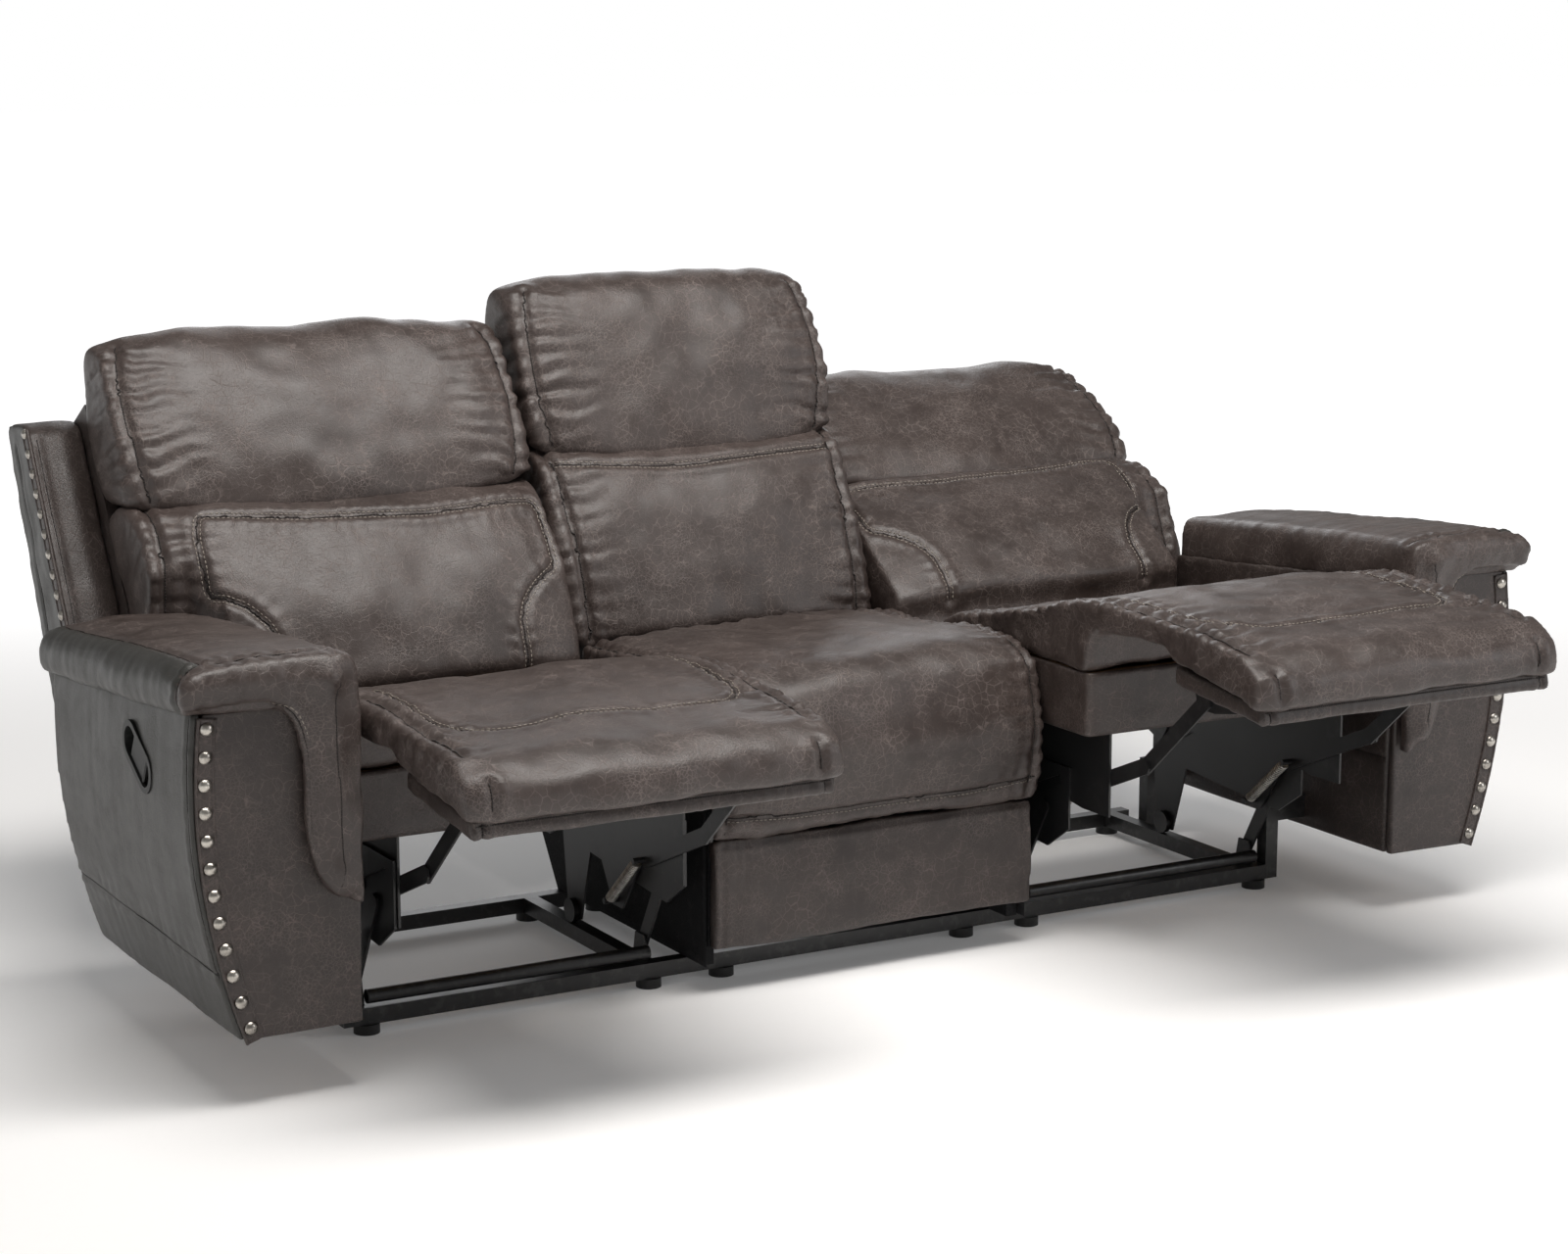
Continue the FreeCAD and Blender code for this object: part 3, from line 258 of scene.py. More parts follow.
# Left and right backs, and the fixed one between them: a padded lumbar cushion under a rolled headrest.
# Each is a leather cover sewn from panels, stuffed with foam and fibre, gathered along its side seams
# and top-stitched in pale thread. The covers are cut here as outlines, filled, then worked seam by seam.
def hide(name, deep, worn, grey, crackle, gloss):
    """Coated split leather: cloudy brown, greyed where it is rubbed, with fine pale crackle and pores."""
    finish = Finish(name, {"Specular IOR Level": 0.5, "Coat Weight": 0.06, "Coat Roughness": 0.35})
    drift = finish.add("ShaderNodeTexNoise", {}, {"Vector": finish.place, "Scale": 26.0, "Detail": 3.0}, "Color")
    shifted = finish.add("ShaderNodeVectorMath", {"operation": "MULTIPLY_ADD"},
                         {0: drift, 1: (0.022, 0.022, 0.022), 2: finish.place}, "Vector")
    cloud = finish.step(finish.clouds(5.2, 6, 0.62), 0.34, 0.66)
    patch = finish.step(finish.clouds(21, 7, 0.7), 0.36, 0.7)
    wide = finish.add("ShaderNodeTexVoronoi", {"feature": "DISTANCE_TO_EDGE"}, {"Vector": shifted, "Scale": 62.0})
    fine = finish.add("ShaderNodeTexVoronoi", {"feature": "DISTANCE_TO_EDGE"}, {"Vector": shifted, "Scale": 170.0})
    cracks = finish.step(wide, 0.0, 0.06, 1.0, 0.0) * patch
    creases = finish.step(fine, 0.0, 0.12, 1.0, 0.0) * finish.step(finish.clouds(11, 5, 0.7), 0.4, 0.66)
    veins = (cracks * 0.9 + creases * 0.7) * crackle
    pores = finish.add("ShaderNodeTexVoronoi", {"feature": "F1"}, {"Vector": finish.place, "Scale": 620.0})
    color = finish.tint(cloud, deep, worn)
    color = finish.tint(patch * 0.45, color, grey)
    color = finish.tint(veins, color, tuple(1.7 * part + 0.01 for part in grey))
    rough = gloss + patch * 0.09 + veins * 0.12 + pores * 0.05
    relief = finish.clouds(240, 4, 0.6) * 0.5 + pores * 0.28 - cracks * 0.5 - creases * 0.3
    return finish.wear(color, rough, relief, 0.0011, 0.55)


cushion_hide = hide("worn_cushion_leather", (0.031, 0.0215, 0.0185), (0.045, 0.0325, 0.0285),
                    (0.068, 0.0525, 0.047), 1.0, 0.36)
panel_hide = hide("worn_panel_leather", (0.0225, 0.0152, 0.013), (0.033, 0.023, 0.0198),
                  (0.053, 0.040, 0.0355), 0.95, 0.4)
side_hide = hide("smooth_side_leather", (0.023, 0.0225, 0.0195), (0.030, 0.029, 0.0255),
                 (0.037, 0.0355, 0.0315), 0.12, 0.4)


def spun(name, deep, pale):
    """Bonded polyester thread: three plies that catch the light, with a little fuzz. Made dark, the same finish
    paints the shade in the seams.
    """
    finish = Finish(name, {"Specular IOR Level": 0.4})
    plies = finish.clouds(1500, 2, 0.5)
    return finish.wear(finish.tint(plies, deep, pale), 0.5 + plies * 0.2, plies, 0.0003, 0.6)


pale_thread = spun("pale_top_stitching", (0.20, 0.175, 0.15), (0.36, 0.32, 0.275))
# seam_shade is painted shade: dark rods laid along the seams darken each crease where its shadow falls.
seam_shade = spun("painted_seam_shade", (0.012, 0.009, 0.008), (0.022, 0.017, 0.015))


def rounded(outline, reach, step=7.0):
    """The outline with each corner eased over its reach, as points about a step apart."""
    outline = [np.array(point, float) for point in outline]
    reaches = reach if isinstance(reach, list) else [reach] * len(outline)
    eased = []
    for number, corner in enumerate(outline):
        before, after = outline[number - 1], outline[(number + 1) % len(outline)]
        back, on = before - corner, after - corner
        room = min(reaches[number], 0.45 * np.linalg.norm(back), 0.45 * np.linalg.norm(on))
        start = corner + back / np.linalg.norm(back) * room
        end = corner + on / np.linalg.norm(on) * room
        for share in np.linspace(0, 1, 7):
            eased.append((1 - share) ** 2 * start + 2 * share * (1 - share) * corner + share ** 2 * end)
    points = []
    for number, point in enumerate(eased):
        after = eased[(number + 1) % len(eased)]
        parts = max(1, int(np.linalg.norm(after - point) / step))
        points += [point + (after - point) * part / parts for part in range(parts)]
    return np.array(points)


def finished(name, points, faces, material, smooth=True):
    """A new piece from points in millimetres in the sofa's own frame."""
    mesh = bpy.data.meshes.new(name)
    mesh.from_pydata([tuple(point) for point in np.asarray(points) * 0.001], [], faces)
    mesh.materials.append(material)
    mesh.polygons.foreach_set("use_smooth", [smooth] * len(mesh.polygons))
    piece = bpy.data.objects.new(name, mesh)
    scene.collection.objects.link(piece)
    return piece


def face_out(mesh):
    """Turns all the faces of closed shells outwards."""
    whole = bmesh.new()
    whole.from_mesh(mesh)
    bmesh.ops.recalc_face_normals(whole, faces=whole.faces)
    whole.to_mesh(mesh)
    whole.free()


class Seam:
    """A line of sewing on a cover: its points, the way out of the surface at each, and how far along it is."""

    def __init__(self, points, outward):
        self.points = points
        self.outward = outward
        runs = np.linalg.norm(np.diff(points, axis=0), axis=1)
        self.along = np.concatenate([[0], np.cumsum(runs)])
        self.forward = np.gradient(points, axis=0)
        self.forward /= np.linalg.norm(self.forward, axis=1)[:, None] + 1e-9
        self.across = np.cross(self.forward, self.outward)


def carried(outline, start, end, reach=14.0, shape=None, stations=15, order=(0, 1, 2)):
    """A closed shell: the outline carried from start to end along the first of the axes in order."""
    ring = rounded(outline, reach)
    count = len(ring)
    points = []
    for station in np.linspace(start, end, stations):
        share = 2 * (station - start) / (end - start) - 1
        row = np.column_stack([np.full(count, station), ring])
        points.append(row if shape is None else shape(row, share))
    points = np.concatenate(points)
    turned = np.zeros_like(points)
    for spot, axis in enumerate(order):
        turned[:, axis] = points[:, spot]
    faces = [tuple(range(count))[::-1], tuple(range((stations - 1) * count, stations * count))]
    for row in range(stations - 1):
        for spot in range(count):
            one, two = row * count + spot, row * count + (spot + 1) % count
            faces.append((one, two, two + count, one + count))
    return turned, faces


class Cover:
    """A sewn and stuffed leather cover, filled from one or more closed shells and then worked seam by seam."""

    def __init__(self, name, shells, voxel=6.0, ease=10):
        self.name = name
        self.threads = []
        self.painted_shade_folds = []
        self.areas = []
        points, faces = [], []
        for shell_points, shell_faces in shells:
            first = sum(len(part) for part in points)
            points.append(shell_points)
            faces += [tuple(first + spot for spot in face) for face in shell_faces]
        points = np.concatenate(points)
        blank = finished(name + "_blank", points, faces, cushion_hide)
        face_out(blank.data)
        even = blank.modifiers.new("even", "REMESH")
        even.mode = "VOXEL"
        even.voxel_size = voxel * 0.001
        soften = blank.modifiers.new("soften", "SMOOTH")
        soften.factor = 0.5
        soften.iterations = ease
        bpy.context.view_layer.update()
        self.mesh = bpy.data.meshes.new_from_object(blank.evaluated_get(bpy.context.evaluated_depsgraph_get()))
        bpy.data.objects.remove(blank)
        self.read()

    def read(self):
        self.points = np.zeros(len(self.mesh.vertices) * 3)
        self.mesh.vertices.foreach_get("co", self.points)
        self.points = self.points.reshape(-1, 3) * 1000
        self.faces = [tuple(face.vertices) for face in self.mesh.polygons]
        self.look()

    def look(self):
        """Finds the surface's normals again after the points have moved."""
        self.mesh.vertices.foreach_set("co", (self.points * 0.001).ravel())
        self.mesh.update()
        self.normals = np.zeros(len(self.points) * 3)
        self.mesh.vertex_normals.foreach_get("vector", self.normals)
        self.normals = self.normals.reshape(-1, 3)

    def push(self, amount):
        """Moves the surface out by an amount for each point."""
        self.points = self.points + self.normals * np.asarray(amount)[:, None]
        self.look()

    def lumps(self, size, amount, seed=0.0):
        """Uneven stuffing: soft swellings about this size, and this far proud."""
        spots = self.points / np.array(size) + (seed, 0, 0)
        heights = [noise.noise(Vector(spot)) for spot in spots]
        self.push(amount * np.array(heights))

    def surface(self):
        return BVHTree.FromPolygons([tuple(point) for point in self.points], self.faces)

    def trace(self, line, way, step=4.0, bend=0.0):
        """Lays a line on the surface, seen along a way, with its corners rounded by bend."""
        line = [np.array(point, float) for point in line]
        if bend:
            eased = [line[0]]
            for number in range(1, len(line) - 1):
                corner = line[number]
                back, on = line[number - 1] - corner, line[number + 1] - corner
                room = min(bend, 0.45 * np.linalg.norm(back), 0.45 * np.linalg.norm(on))
                first = corner + back / np.linalg.norm(back) * room
                last = corner + on / np.linalg.norm(on) * room
                eased += [(1 - k) ** 2 * first + 2 * k * (1 - k) * corner + k * k * last
                          for k in np.linspace(0, 1, 7)]
            line = eased + [line[-1]]
        samples = []
        for one, two in zip(line, line[1:]):
            parts = max(1, int(np.linalg.norm(two - one) / step))
            samples += [one + (two - one) * part / parts for part in range(parts)]
        samples.append(line[-1])
        skin = self.surface()
        way = Vector(way).normalized()
        hits, outs = [], []
        for sample in samples:
            spot, out, _, _ = skin.ray_cast(Vector(sample) - way * 300, way)
            if spot is not None:
                hits.append(tuple(spot))
                outs.append(tuple(out))
        outs = np.array(outs)
        for _ in range(4):
            outs[1:-1] = (outs[:-2] + outs[1:-1] * 2 + outs[2:]) / 4
        outs /= np.linalg.norm(outs, axis=1)[:, None]
        return Seam(np.array(hits), outs)

    def near(self, seam, reach):
        """The points within reach of a seam: which, how far off, how far along it, and how squarely they face out."""
        low, high = seam.points.min(0) - reach, seam.points.max(0) + reach
        close = np.where(np.all((self.points > low) & (self.points < high), axis=1))[0]
        spots = self.points[close]
        best = np.full(len(close), 1e9)
        index = np.zeros(len(close), int)
        for number, point in enumerate(seam.points):
            gap = np.linalg.norm(spots - point, axis=1)
            better = gap < best
            best[better] = gap[better]
            index[better] = number
        keep = best < reach
        close, best, index = close[keep], best[keep], index[keep]
        facing = np.sum(self.normals[close] * seam.outward[index], axis=1)
        return close, best, seam.along[index], facing

    def draw_in(self, seam, depth, width=7.0, swell=0.0):
        """Pulls the surface in along a seam, and lets it swell beside it."""
        close, off, _, facing = self.near(seam, width * 6)
        amount = np.zeros(len(self.points))
        pull = -depth * np.exp(-(off / width) ** 2) + swell * np.exp(-((off - width * 2.6) / (width * 1.3)) ** 2)
        amount[close] = pull * (facing > 0.2)
        self.push(amount)

    def gather(self, seam, depth, length, pitch, seed=0.0):
        """Puckers that start at a seam and die away over their length, on both sides of it."""
        close, off, along, facing = self.near(seam, length * 1.6)
        wander = np.array([noise.noise(Vector((spot / 90.0, seed, reach / 60.0))) for spot, reach in zip(along, off)])
        strong = np.array([0.55 + 0.9 * noise.noise(Vector((spot / 38.0, seed + 7, 0.0))) for spot in along])
        ridge = np.sin(2 * math.pi * along / pitch + 3.0 * wander)
        ridge = ridge - 0.4 * np.clip(ridge, -1, 0) ** 2
        fade = np.exp(-((off / length) ** 1.4)) * np.clip(off / 14.0, 0, 1)
        amount = np.zeros(len(self.points))
        amount[close] = depth * ridge * np.clip(strong, 0.1, 1.4) * fade * (facing > 0.1)
        self.push(amount)

    def sew(self, seam, gap=0.0, stitch=5.2, pitch=8.0, thick=0.85):
        """Pale top-stitching beside or on a seam, kept as points until the cover is placed."""
        skin = self.surface()
        total = seam.along[-1]
        for spot in np.arange(2.0, total - stitch, pitch):
            ends = []
            for reach in (spot, spot + stitch):
                point = np.array([np.interp(reach, seam.along, seam.points[:, k]) for k in range(3)])
                aside = np.array([np.interp(reach, seam.along, seam.across[:, k]) for k in range(3)])
                found, out, _, _ = skin.find_nearest(Vector(point + aside * gap))
                ends.append((np.array(found) + np.array(out) * 0.35, np.array(out)))
            self.threads.append((ends[0][0], ends[1][0], ends[0][1], thick))

    def fold(self, seam, thick):
        """A dark line of painted shade where two panels meet, sunk into the seam."""
        skin = self.surface()
        for one, two, out in zip(seam.points, seam.points[1:], seam.outward):
            first, second = skin.find_nearest(Vector(one))[0], skin.find_nearest(Vector(two))[0]
            self.painted_shade_folds.append((np.array(first), np.array(second), out, thick))

    def work(self, seam, gathers=(), draw=(), fold=0.0, sew=()):
        """Works a seam in the order it is sewn: puckers, the thread's pull, the painted shade in the fold, then
        top-stitching.
        """
        for gathered in gathers:
            self.gather(seam, *gathered)
        if draw:
            self.draw_in(seam, *draw)
        if fold:
            self.fold(seam, fold)
        for gap in sew:
            self.sew(seam, gap)

    def panel(self, material, test):
        """Cuts another hide into the cover, wherever the test on its points and normals holds."""
        self.areas.append((material, test))

    def opening(self, test):
        """Cuts an opening in the cover where the test on its points holds."""
        inside = test(self.points)
        self.faces = [face for face in self.faces if not all(inside[spot] for spot in face)]

    def place(self, put, body, material, slot, fill=None, replaced=()):
        """Puts the cover on the sofa, with its thread and the painted shade of its folds riding along."""
        piece = finished(self.name, put(self.points), self.faces, material)
        for number, (other, test) in enumerate(self.areas, 1):
            piece.data.materials.append(other)
            inside = test(self.points, self.normals)
            for face in piece.data.polygons:
                if sum(inside[spot] for spot in face.vertices) * 2 > len(face.vertices):
                    face.material_index = number
        made = [piece]
        for label, runs, stuff in (("stitching", self.threads, pale_thread), ("painted_shade_folds", self.painted_shade_folds, seam_shade)):
            if runs:
                points, faces = rods(runs)
                made.append(finished(f"{self.name}_{label}", put(points), faces, stuff))
        for thing in made:
            flipped(thing, put)
            if body:
                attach(thing, body)
        if replaced:
            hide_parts(*replaced)
        bpy.data.meshes.remove(self.mesh)
        return made


def rods(runs):
    """Short rounded rods between pairs of points, five-sided with drawn-in ends."""
    points, faces = [], []
    turns = [2 * math.pi * k / 5 for k in range(5)]
    for one, two, out, thick in runs:
        along = two - one
        length = np.linalg.norm(along)
        if length < 0.2:
            continue
        along = along / length
        aside = np.cross(along, out)
        aside /= np.linalg.norm(aside) + 1e-9
        up = np.cross(aside, along)
        first = len(points)
        for share, girth in ((0.0, 0.45), (0.18, 1.0), (0.82, 1.0), (1.0, 0.45)):
            middle = one + along * length * share
            points += [middle + (aside * math.cos(t) + up * math.sin(t)) * thick * girth for t in turns]
        for row in range(3):
            for k in range(5):
                a, b = first + row * 5 + k, first + row * 5 + (k + 1) % 5
                faces.append((a, b, b + 5, a + 5))
        faces.append(tuple(first + k for k in range(5))[::-1])
        faces.append(tuple(first + 15 + k for k in range(5)))
    return np.array(points), faces


def flipped(piece, put):
    """Turns a piece's faces round where placing it mirrored them."""
    corners = put(np.array([[0.0, 0, 0], [1, 0, 0], [0, 1, 0], [0, 0, 1]]))
    if np.linalg.det(corners[1:] - corners[0]) < 0:
        piece.data.flip_normals()


def leaning(side, middle, pivot_y, pivot_z, lean):
    """From a back's own axes (out from the seat's middle, back, up) to the sofa's."""
    turn = math.radians(lean)

    def put(points):
        out, back, up = points[:, 0], points[:, 1], points[:, 2]
        return np.column_stack([side * (middle + out), pivot_y + back * math.cos(turn) + up * math.sin(turn),
                                pivot_z - back * math.sin(turn) + up * math.cos(turn)])
    return put


def lumbar_shape(outer_arm):
    """The front face bows out across its width, and its lower outer corner is cut back behind the arm."""
    def shape(row, share):
        row = row.copy()
        front = np.clip((-row[:, 1] - 90) / 100, 0, 1)
        row[:, 1] -= 24 * (1 - share ** 4) * front
        if outer_arm:
            behind = -17 - (row[:, 2] - 90) * 168 / 302 + 36 * np.clip((410 - row[:, 2]) / 150, 0, 1)
            hidden = np.clip((row[:, 0] - 290) / 12, 0, 1)
            row[:, 1] = np.maximum(row[:, 1], behind * hidden - 400 * (1 - hidden))
        return row
    return shape


def pillow_shape(row, share):
    """The headrest droops over the lumbar in the middle, and its roll is fuller there."""
    row = row.copy()
    low = np.clip((640 - row[:, 2]) / 110, 0, 1) * np.clip((-row[:, 1] - 90) / 80, 0, 1)
    row[:, 2] -= 24 * (1 - share ** 2) * low
    pinch = 0.16 * abs(share) ** 9 + 0.05 * abs(share) ** 3
    row[:, 1] += (-100 - row[:, 1]) * pinch
    row[:, 2] += (695 - row[:, 2]) * pinch * 0.6
    return row


AHEAD, INWARD, DOWN = (0, 1, 0), (-1, 0, 0), (0, 0, -1)
# Thicknesses of the dark rods of painted shade laid in the seams.
deep_shade_fold, fine_shade_fold = 1.3, 0.9
seat_middle = 613
# hand, side, middle, pivot's y and z, lean, inner and outer edge, body
backs = [("left", -1, seat_middle, 210, 190, 30.0, -304, 388, "left_back"),
         ("right", 1, seat_middle, 110, 230, 56.5, -304, 388, "right_back"),
         ("centre", 1, 0, 330, 215, 22.0, -289, 289, "base")]
for hand, side, middle, pivot_y, pivot_z, lean, inner, outer, body in backs:
    put = leaning(side, middle, pivot_y, pivot_z, lean)
    reclines = hand != "centre"
    outline = [(-188, 200), (-150, 186), (-114, 106), (-84, 106), (-82, 198), (-65, 257), (-65, 560),
               (-130, 556), (-182, 506), (-204, 350)]
    corners = [40, 16, 6, 6, 8, 6, 12, 40, 60, 120]
    lumbar = Cover(f"{hand}_lumbar_cover",
                   [carried(outline, inner - 2, outer + 3, corners, lumbar_shape(reclines), 21)], 6.0, 18)
    lumbar.lumps(120, 7, middle + 3)
    lumbar.lumps(48, 2.5, middle + 9)
    if reclines:
        panel = [(-203, -300, 196), (-203, -300, 272), (-216, -300, 306), (-246, -300, 337), (-289, -300, 366),
                 (-291, -300, 470), (-280, -300, 489), (-78, -300, 474), (121, -300, 486), (292, -300, 505),
                 (303, -300, 471), (303, -300, 413), (300, -300, 369), (251, -300, 340), (223, -300, 308),
                 (210, -300, 274), (208, -300, 196)]
        seam = lumbar.trace(panel, AHEAD, bend=14)
        lumbar.work(seam, gathers=[(2.2, 26, 24, middle)], draw=(5.5, 6, 2.2), fold=deep_shade_fold, sew=[4.5, -4.5])
        end = 361
        seam = lumbar.trace([(end, -300, 538), (end, -300, 330)], AHEAD)
        lumbar.work(seam, gathers=[(3.4, 46, 33, middle + end)], draw=(7, 6, 2.5), fold=deep_shade_fold)
    else:
        for sign in (-1, 1):
            side_line = [(sign * 268, -300, 536), (sign * 262, -300, 400), (sign * 256, -300, 204)]
            seam = lumbar.trace(side_line, AHEAD, bend=30)
            lumbar.work(seam, gathers=[(3.2, 52, 31, sign)], draw=(7, 6, 2.5), fold=deep_shade_fold)
        seam = lumbar.trace([(-262, -300, 506), (-42, -300, 484), (262, -300, 502)], AHEAD, bend=60)
        lumbar.work(seam, draw=(4.5, 6, 2), fold=deep_shade_fold, sew=[4.0, -4.0])
    lumbar.place(put, body, cushion_hide, "cushion_leather", 0.7, [f"{hand}_lumbar_cushion"])

    outline = [(-178, 522), (-120, 552), (-65, 572), (-65, 760), (-74, 838), (-140, 854), (-188, 812), (-206, 690),
               (-198, 580)]
    corners = [26, 20, 8, 8, 36, 50, 60, 100, 60]
    pillow = Cover(f"{hand}_headrest_cover",
                   [carried(outline, inner - 3, outer + 4, corners, pillow_shape, 31)], 6.0, 20)
    pillow.lumps(140, 9, middle + 21)
    pillow.lumps(52, 3, middle + 27)
    for end, inward in ((inner + 22, 12), (outer - 22, -12)):
        seam = pillow.trace([(end + inward, -300, 540), (end, -300, 600), (end - inward / 2, -300, 690),
                             (end, -300, 770), (end + inward, -300, 812)], AHEAD, bend=40)
        pillow.work(seam, gathers=[(4.6, 74, 33, end), (1.0, 34, 19, end + 3)],
                    draw=(6, 7, 1.5), fold=deep_shade_fold)
    pillow.place(put, body, cushion_hide, "cushion_leather", 0.7, [f"{hand}_headrest"])


# Outer wings beside the recliners' backs: a board padded round at the front in brown leather, with a smooth
# greyed panel outside. A narrow strip of leather covers that joint, held by a row of domed nickel nails.
def grid(rows, columns):
    """Four-sided faces between rows of points."""
    return [(r * columns + c, r * columns + c + 1, (r + 1) * columns + c + 1, (r + 1) * columns + c)
            for r in range(rows - 1) for c in range(columns - 1)]


def ribbon(name, line, out, wide, body, put, nails):
    """A flat strip with piped edges along a line of points, lying on a face that looks outwards."""
    line = np.array(line, float)
    steps = np.concatenate([[0], np.cumsum(np.linalg.norm(np.diff(line, axis=0), axis=1))])
    count = max(2, int(steps[-1] / 3.5))
    along = np.linspace(0, steps[-1], count)
    middle = np.column_stack([np.interp(along, steps, line[:, k]) for k in range(3)])
    forward = np.gradient(middle, axis=0)
    forward /= np.linalg.norm(forward, axis=1)[:, None]
    out = np.array(out, float)
    across = np.cross(forward, out)
    across /= np.linalg.norm(across, axis=1)[:, None]
    shares = np.array([-1.0, -1.0, -0.94, -0.84, -0.74, -0.66, -0.4, 0.0, 0.4, 0.66, 0.74, 0.84, 0.94, 1.0, 1.0])
    heights = np.array([-1.5, 0.6, 1.35, 1.6, 1.25, 0.55, 0.8, 0.95, 0.8, 0.55, 1.25, 1.6, 1.35, 0.6, -1.5])
    strip_thick = 2.4
    points = []
    for spot, centre in enumerate(middle):
        nearest = min(abs(along[spot] - nail) for nail in nails)
        pull = 1.25 - 0.75 * math.exp(-(nearest / 9.0) ** 2)
        wave = 0.35 * noise.noise(Vector(centre / 14.0))
        for share, height in zip(shares, heights):
            rise = height * strip_thick * (pull if abs(share) < 0.7 else 1.0) + (wave if height > 0 else 0)
            points.append(centre + across[spot] * share * wide / 2 + out * rise * 0.8)
    row = len(shares)
    piece = finished(name, put(np.array(points)), grid(count, row), panel_hide)
    piece.data.update()
    normal = np.array(piece.data.polygons[(count // 2) * (row - 1) + 6].normal)
    ends = put(np.array([[0.0, 0, 0], out]))
    if np.dot(normal, ends[1] - ends[0]) < 0:
        piece.data.flip_normals()
    backed(piece, 0.9)
    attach(piece, body)


def backed(piece, thick):
    """Gives a sheet its own thickness, behind the face that shows."""
    skin = piece.modifiers.new("thickness", "SOLIDIFY")
    skin.thickness = thick * 0.001
    skin.offset = -1


def nail_row(name, spots, out, radius, body, put, replaced):
    """Domed upholstery nails pressed into a strip: a rolled rim, and a polished cap."""
    out = np.array(out, float)
    aside = np.array([0, 0, 1.0])
    across = np.cross(out, aside)
    turns = [2 * math.pi * k / 20 for k in range(20)]
    rings = [(1.0, -0.8), (1.03, 0.2), (0.98, 0.9), (0.9, 1.7), (0.76, 2.9), (0.58, 3.9), (0.36, 4.7), (0.14, 5.1)]
    points, faces = [], []
    for spot in spots:
        spot = np.array(spot, float)
        first = len(points)
        for girth, rise in rings:
            points += [spot + (aside * math.cos(t) + across * math.sin(t)) * radius * girth
                       + out * rise * radius / 9.0 for t in turns]
        points.append(spot + out * 5.2 * radius / 9.0)
        for row in range(len(rings) - 1):
            for k in range(20):
                one, two = first + row * 20 + k, first + row * 20 + (k + 1) % 20
                faces.append((one, two, two + 20, one + 20))
        last = first + (len(rings) - 1) * 20
        faces += [(last + k, last + (k + 1) % 20, len(points) - 1) for k in range(20)]
        faces.append(tuple(first + k for k in range(20))[::-1])
    piece = finished(name, put(np.array(points)), faces, nickel)
    face_out(piece.data)
    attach(piece, body)
    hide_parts(replaced)


strip_foot = 345
wing_nail_rises = [734 - 34.5 * count for count in range(12)]
for hand, side, middle, pivot_y, pivot_z, lean, inner, outer, body in backs[:2]:
    put = leaning(side, middle, pivot_y, pivot_z, lean)
    outline = [(-27, 263), (133, 263), (84, 786), (54, 784), (-25, 744)]
    wing = Cover(f"{hand}_wing_cover", [carried(outline, 389, 475, [26, 8, 16, 30, 60])], 5.0, 6)
    wing.lumps((200, 90, 60), 3.5, side)
    wing.lumps((40, 30, 160), 1.6, side + 5)
    rear = wing.trace([(600, 92, 280), (600, 52, 740)], INWARD)
    wing.work(rear, draw=(2.2, 4, 0.6), fold=0.8)
    hem = wing.trace([(600, -2, 372), (600, 98, 360)], INWARD)
    wing.work(hem, draw=(2.0, 4, 0.6), fold=0.8)
    front_roll = wing.trace([(430, -200, 290), (430, -200, 720)], AHEAD)
    wing.draw_in(front_roll, -9, 26)
    welt = wing.trace([(464, -200, 300), (464, -200, 720)], AHEAD)
    wing.work(welt, draw=(3.0, 5, 1.0), fold=fine_shade_fold)
    wing.panel(side_hide, lambda points, normals: (normals[:, 0] > 0.35) & (points[:, 1] > -14))
    wing.place(put, body, panel_hide, "side_leather", None, [f"{hand}_wing"])
    ribbon(f"{hand}_wing_strip", [(477, -16, strip_foot), (477, -16, 738)], (1, 0, 0), 26, body, put,
           [rise - strip_foot for rise in wing_nail_rises])
    nail_row(f"{hand}_wing_nail_row", [(479.2, -16, rise) for rise in wing_nail_rises], (1, 0, 0), 8.2, body, put,
             f"{hand}_wing_nails")


# Rear panels: smooth greyed leather pulled over board behind each back, with a hem along the foot,
# a seam across the middle and blind-tacked edges. The boards that carry the backs are wrapped in leather too.
def rear_line(rise):
    """How far back the posts' sloping rear edge is at a height."""
    return 122 - (rise - 248) * 48 / 512


for hand, side, middle, pivot_y, pivot_z, lean, inner, outer, body in backs:
    put = leaning(side, middle, pivot_y, pivot_z, lean)
    outline = [(rear_line(rise) + off, rise) for rise, off in ((262, 2), (262, 13), (786, 13), (786, 2))]
    rear = Cover(f"{hand}_rear_cover", [carried(outline, inner + 2, outer - 2, [2, 8, 12, 3])], 5.0, 3)
    rear.lumps((120, 60, 260), 3.0, middle + 2)
    rear.lumps((34, 30, 120), 1.2, middle + 4)
    for rise in (560, 300):
        seam = rear.trace([(inner + 16, 300, rise), (outer - 16, 300, rise)], (0, -1, 0))
        rear.work(seam, gathers=[(1.4, 30, 34, middle)], draw=(2.2, 4, 0.8), fold=fine_shade_fold, sew=[4.0])
    rear.place(put, body, side_hide, "side_leather", None, [f"{hand}_back_panel"])
    for place in nodes[f"{hand}_back_frame"].material_slots:
        place.material = panel_hide


# Arms: a boarded box on a steel bracket. Outside, smooth leather with a bowed front edge, a seam behind it
# and a hem; in front, brown leather, a nailed strip, and the pillow-topped pad whose roll runs down the inner edge.
def arm_place(side):
    def put(points):
        return points * (side, 1, 1)
    return put


def arm_top(back):
    """The height of the arm's sloping top at a distance along it."""
    return 566 - (back + 400) * 48 / 622


def arm_edge(rise, inset=0.0):
    """How far out the bowed side of the arm is at a height."""
    share = (rise - 96) / 470
    return 1112 + 54 * share + 116 * share * (1 - share) - inset


def under_pad(row, share):
    row = row.copy()
    row[:, 2] = np.minimum(row[:, 2], arm_top(row[:, 0]) + 3)
    return row


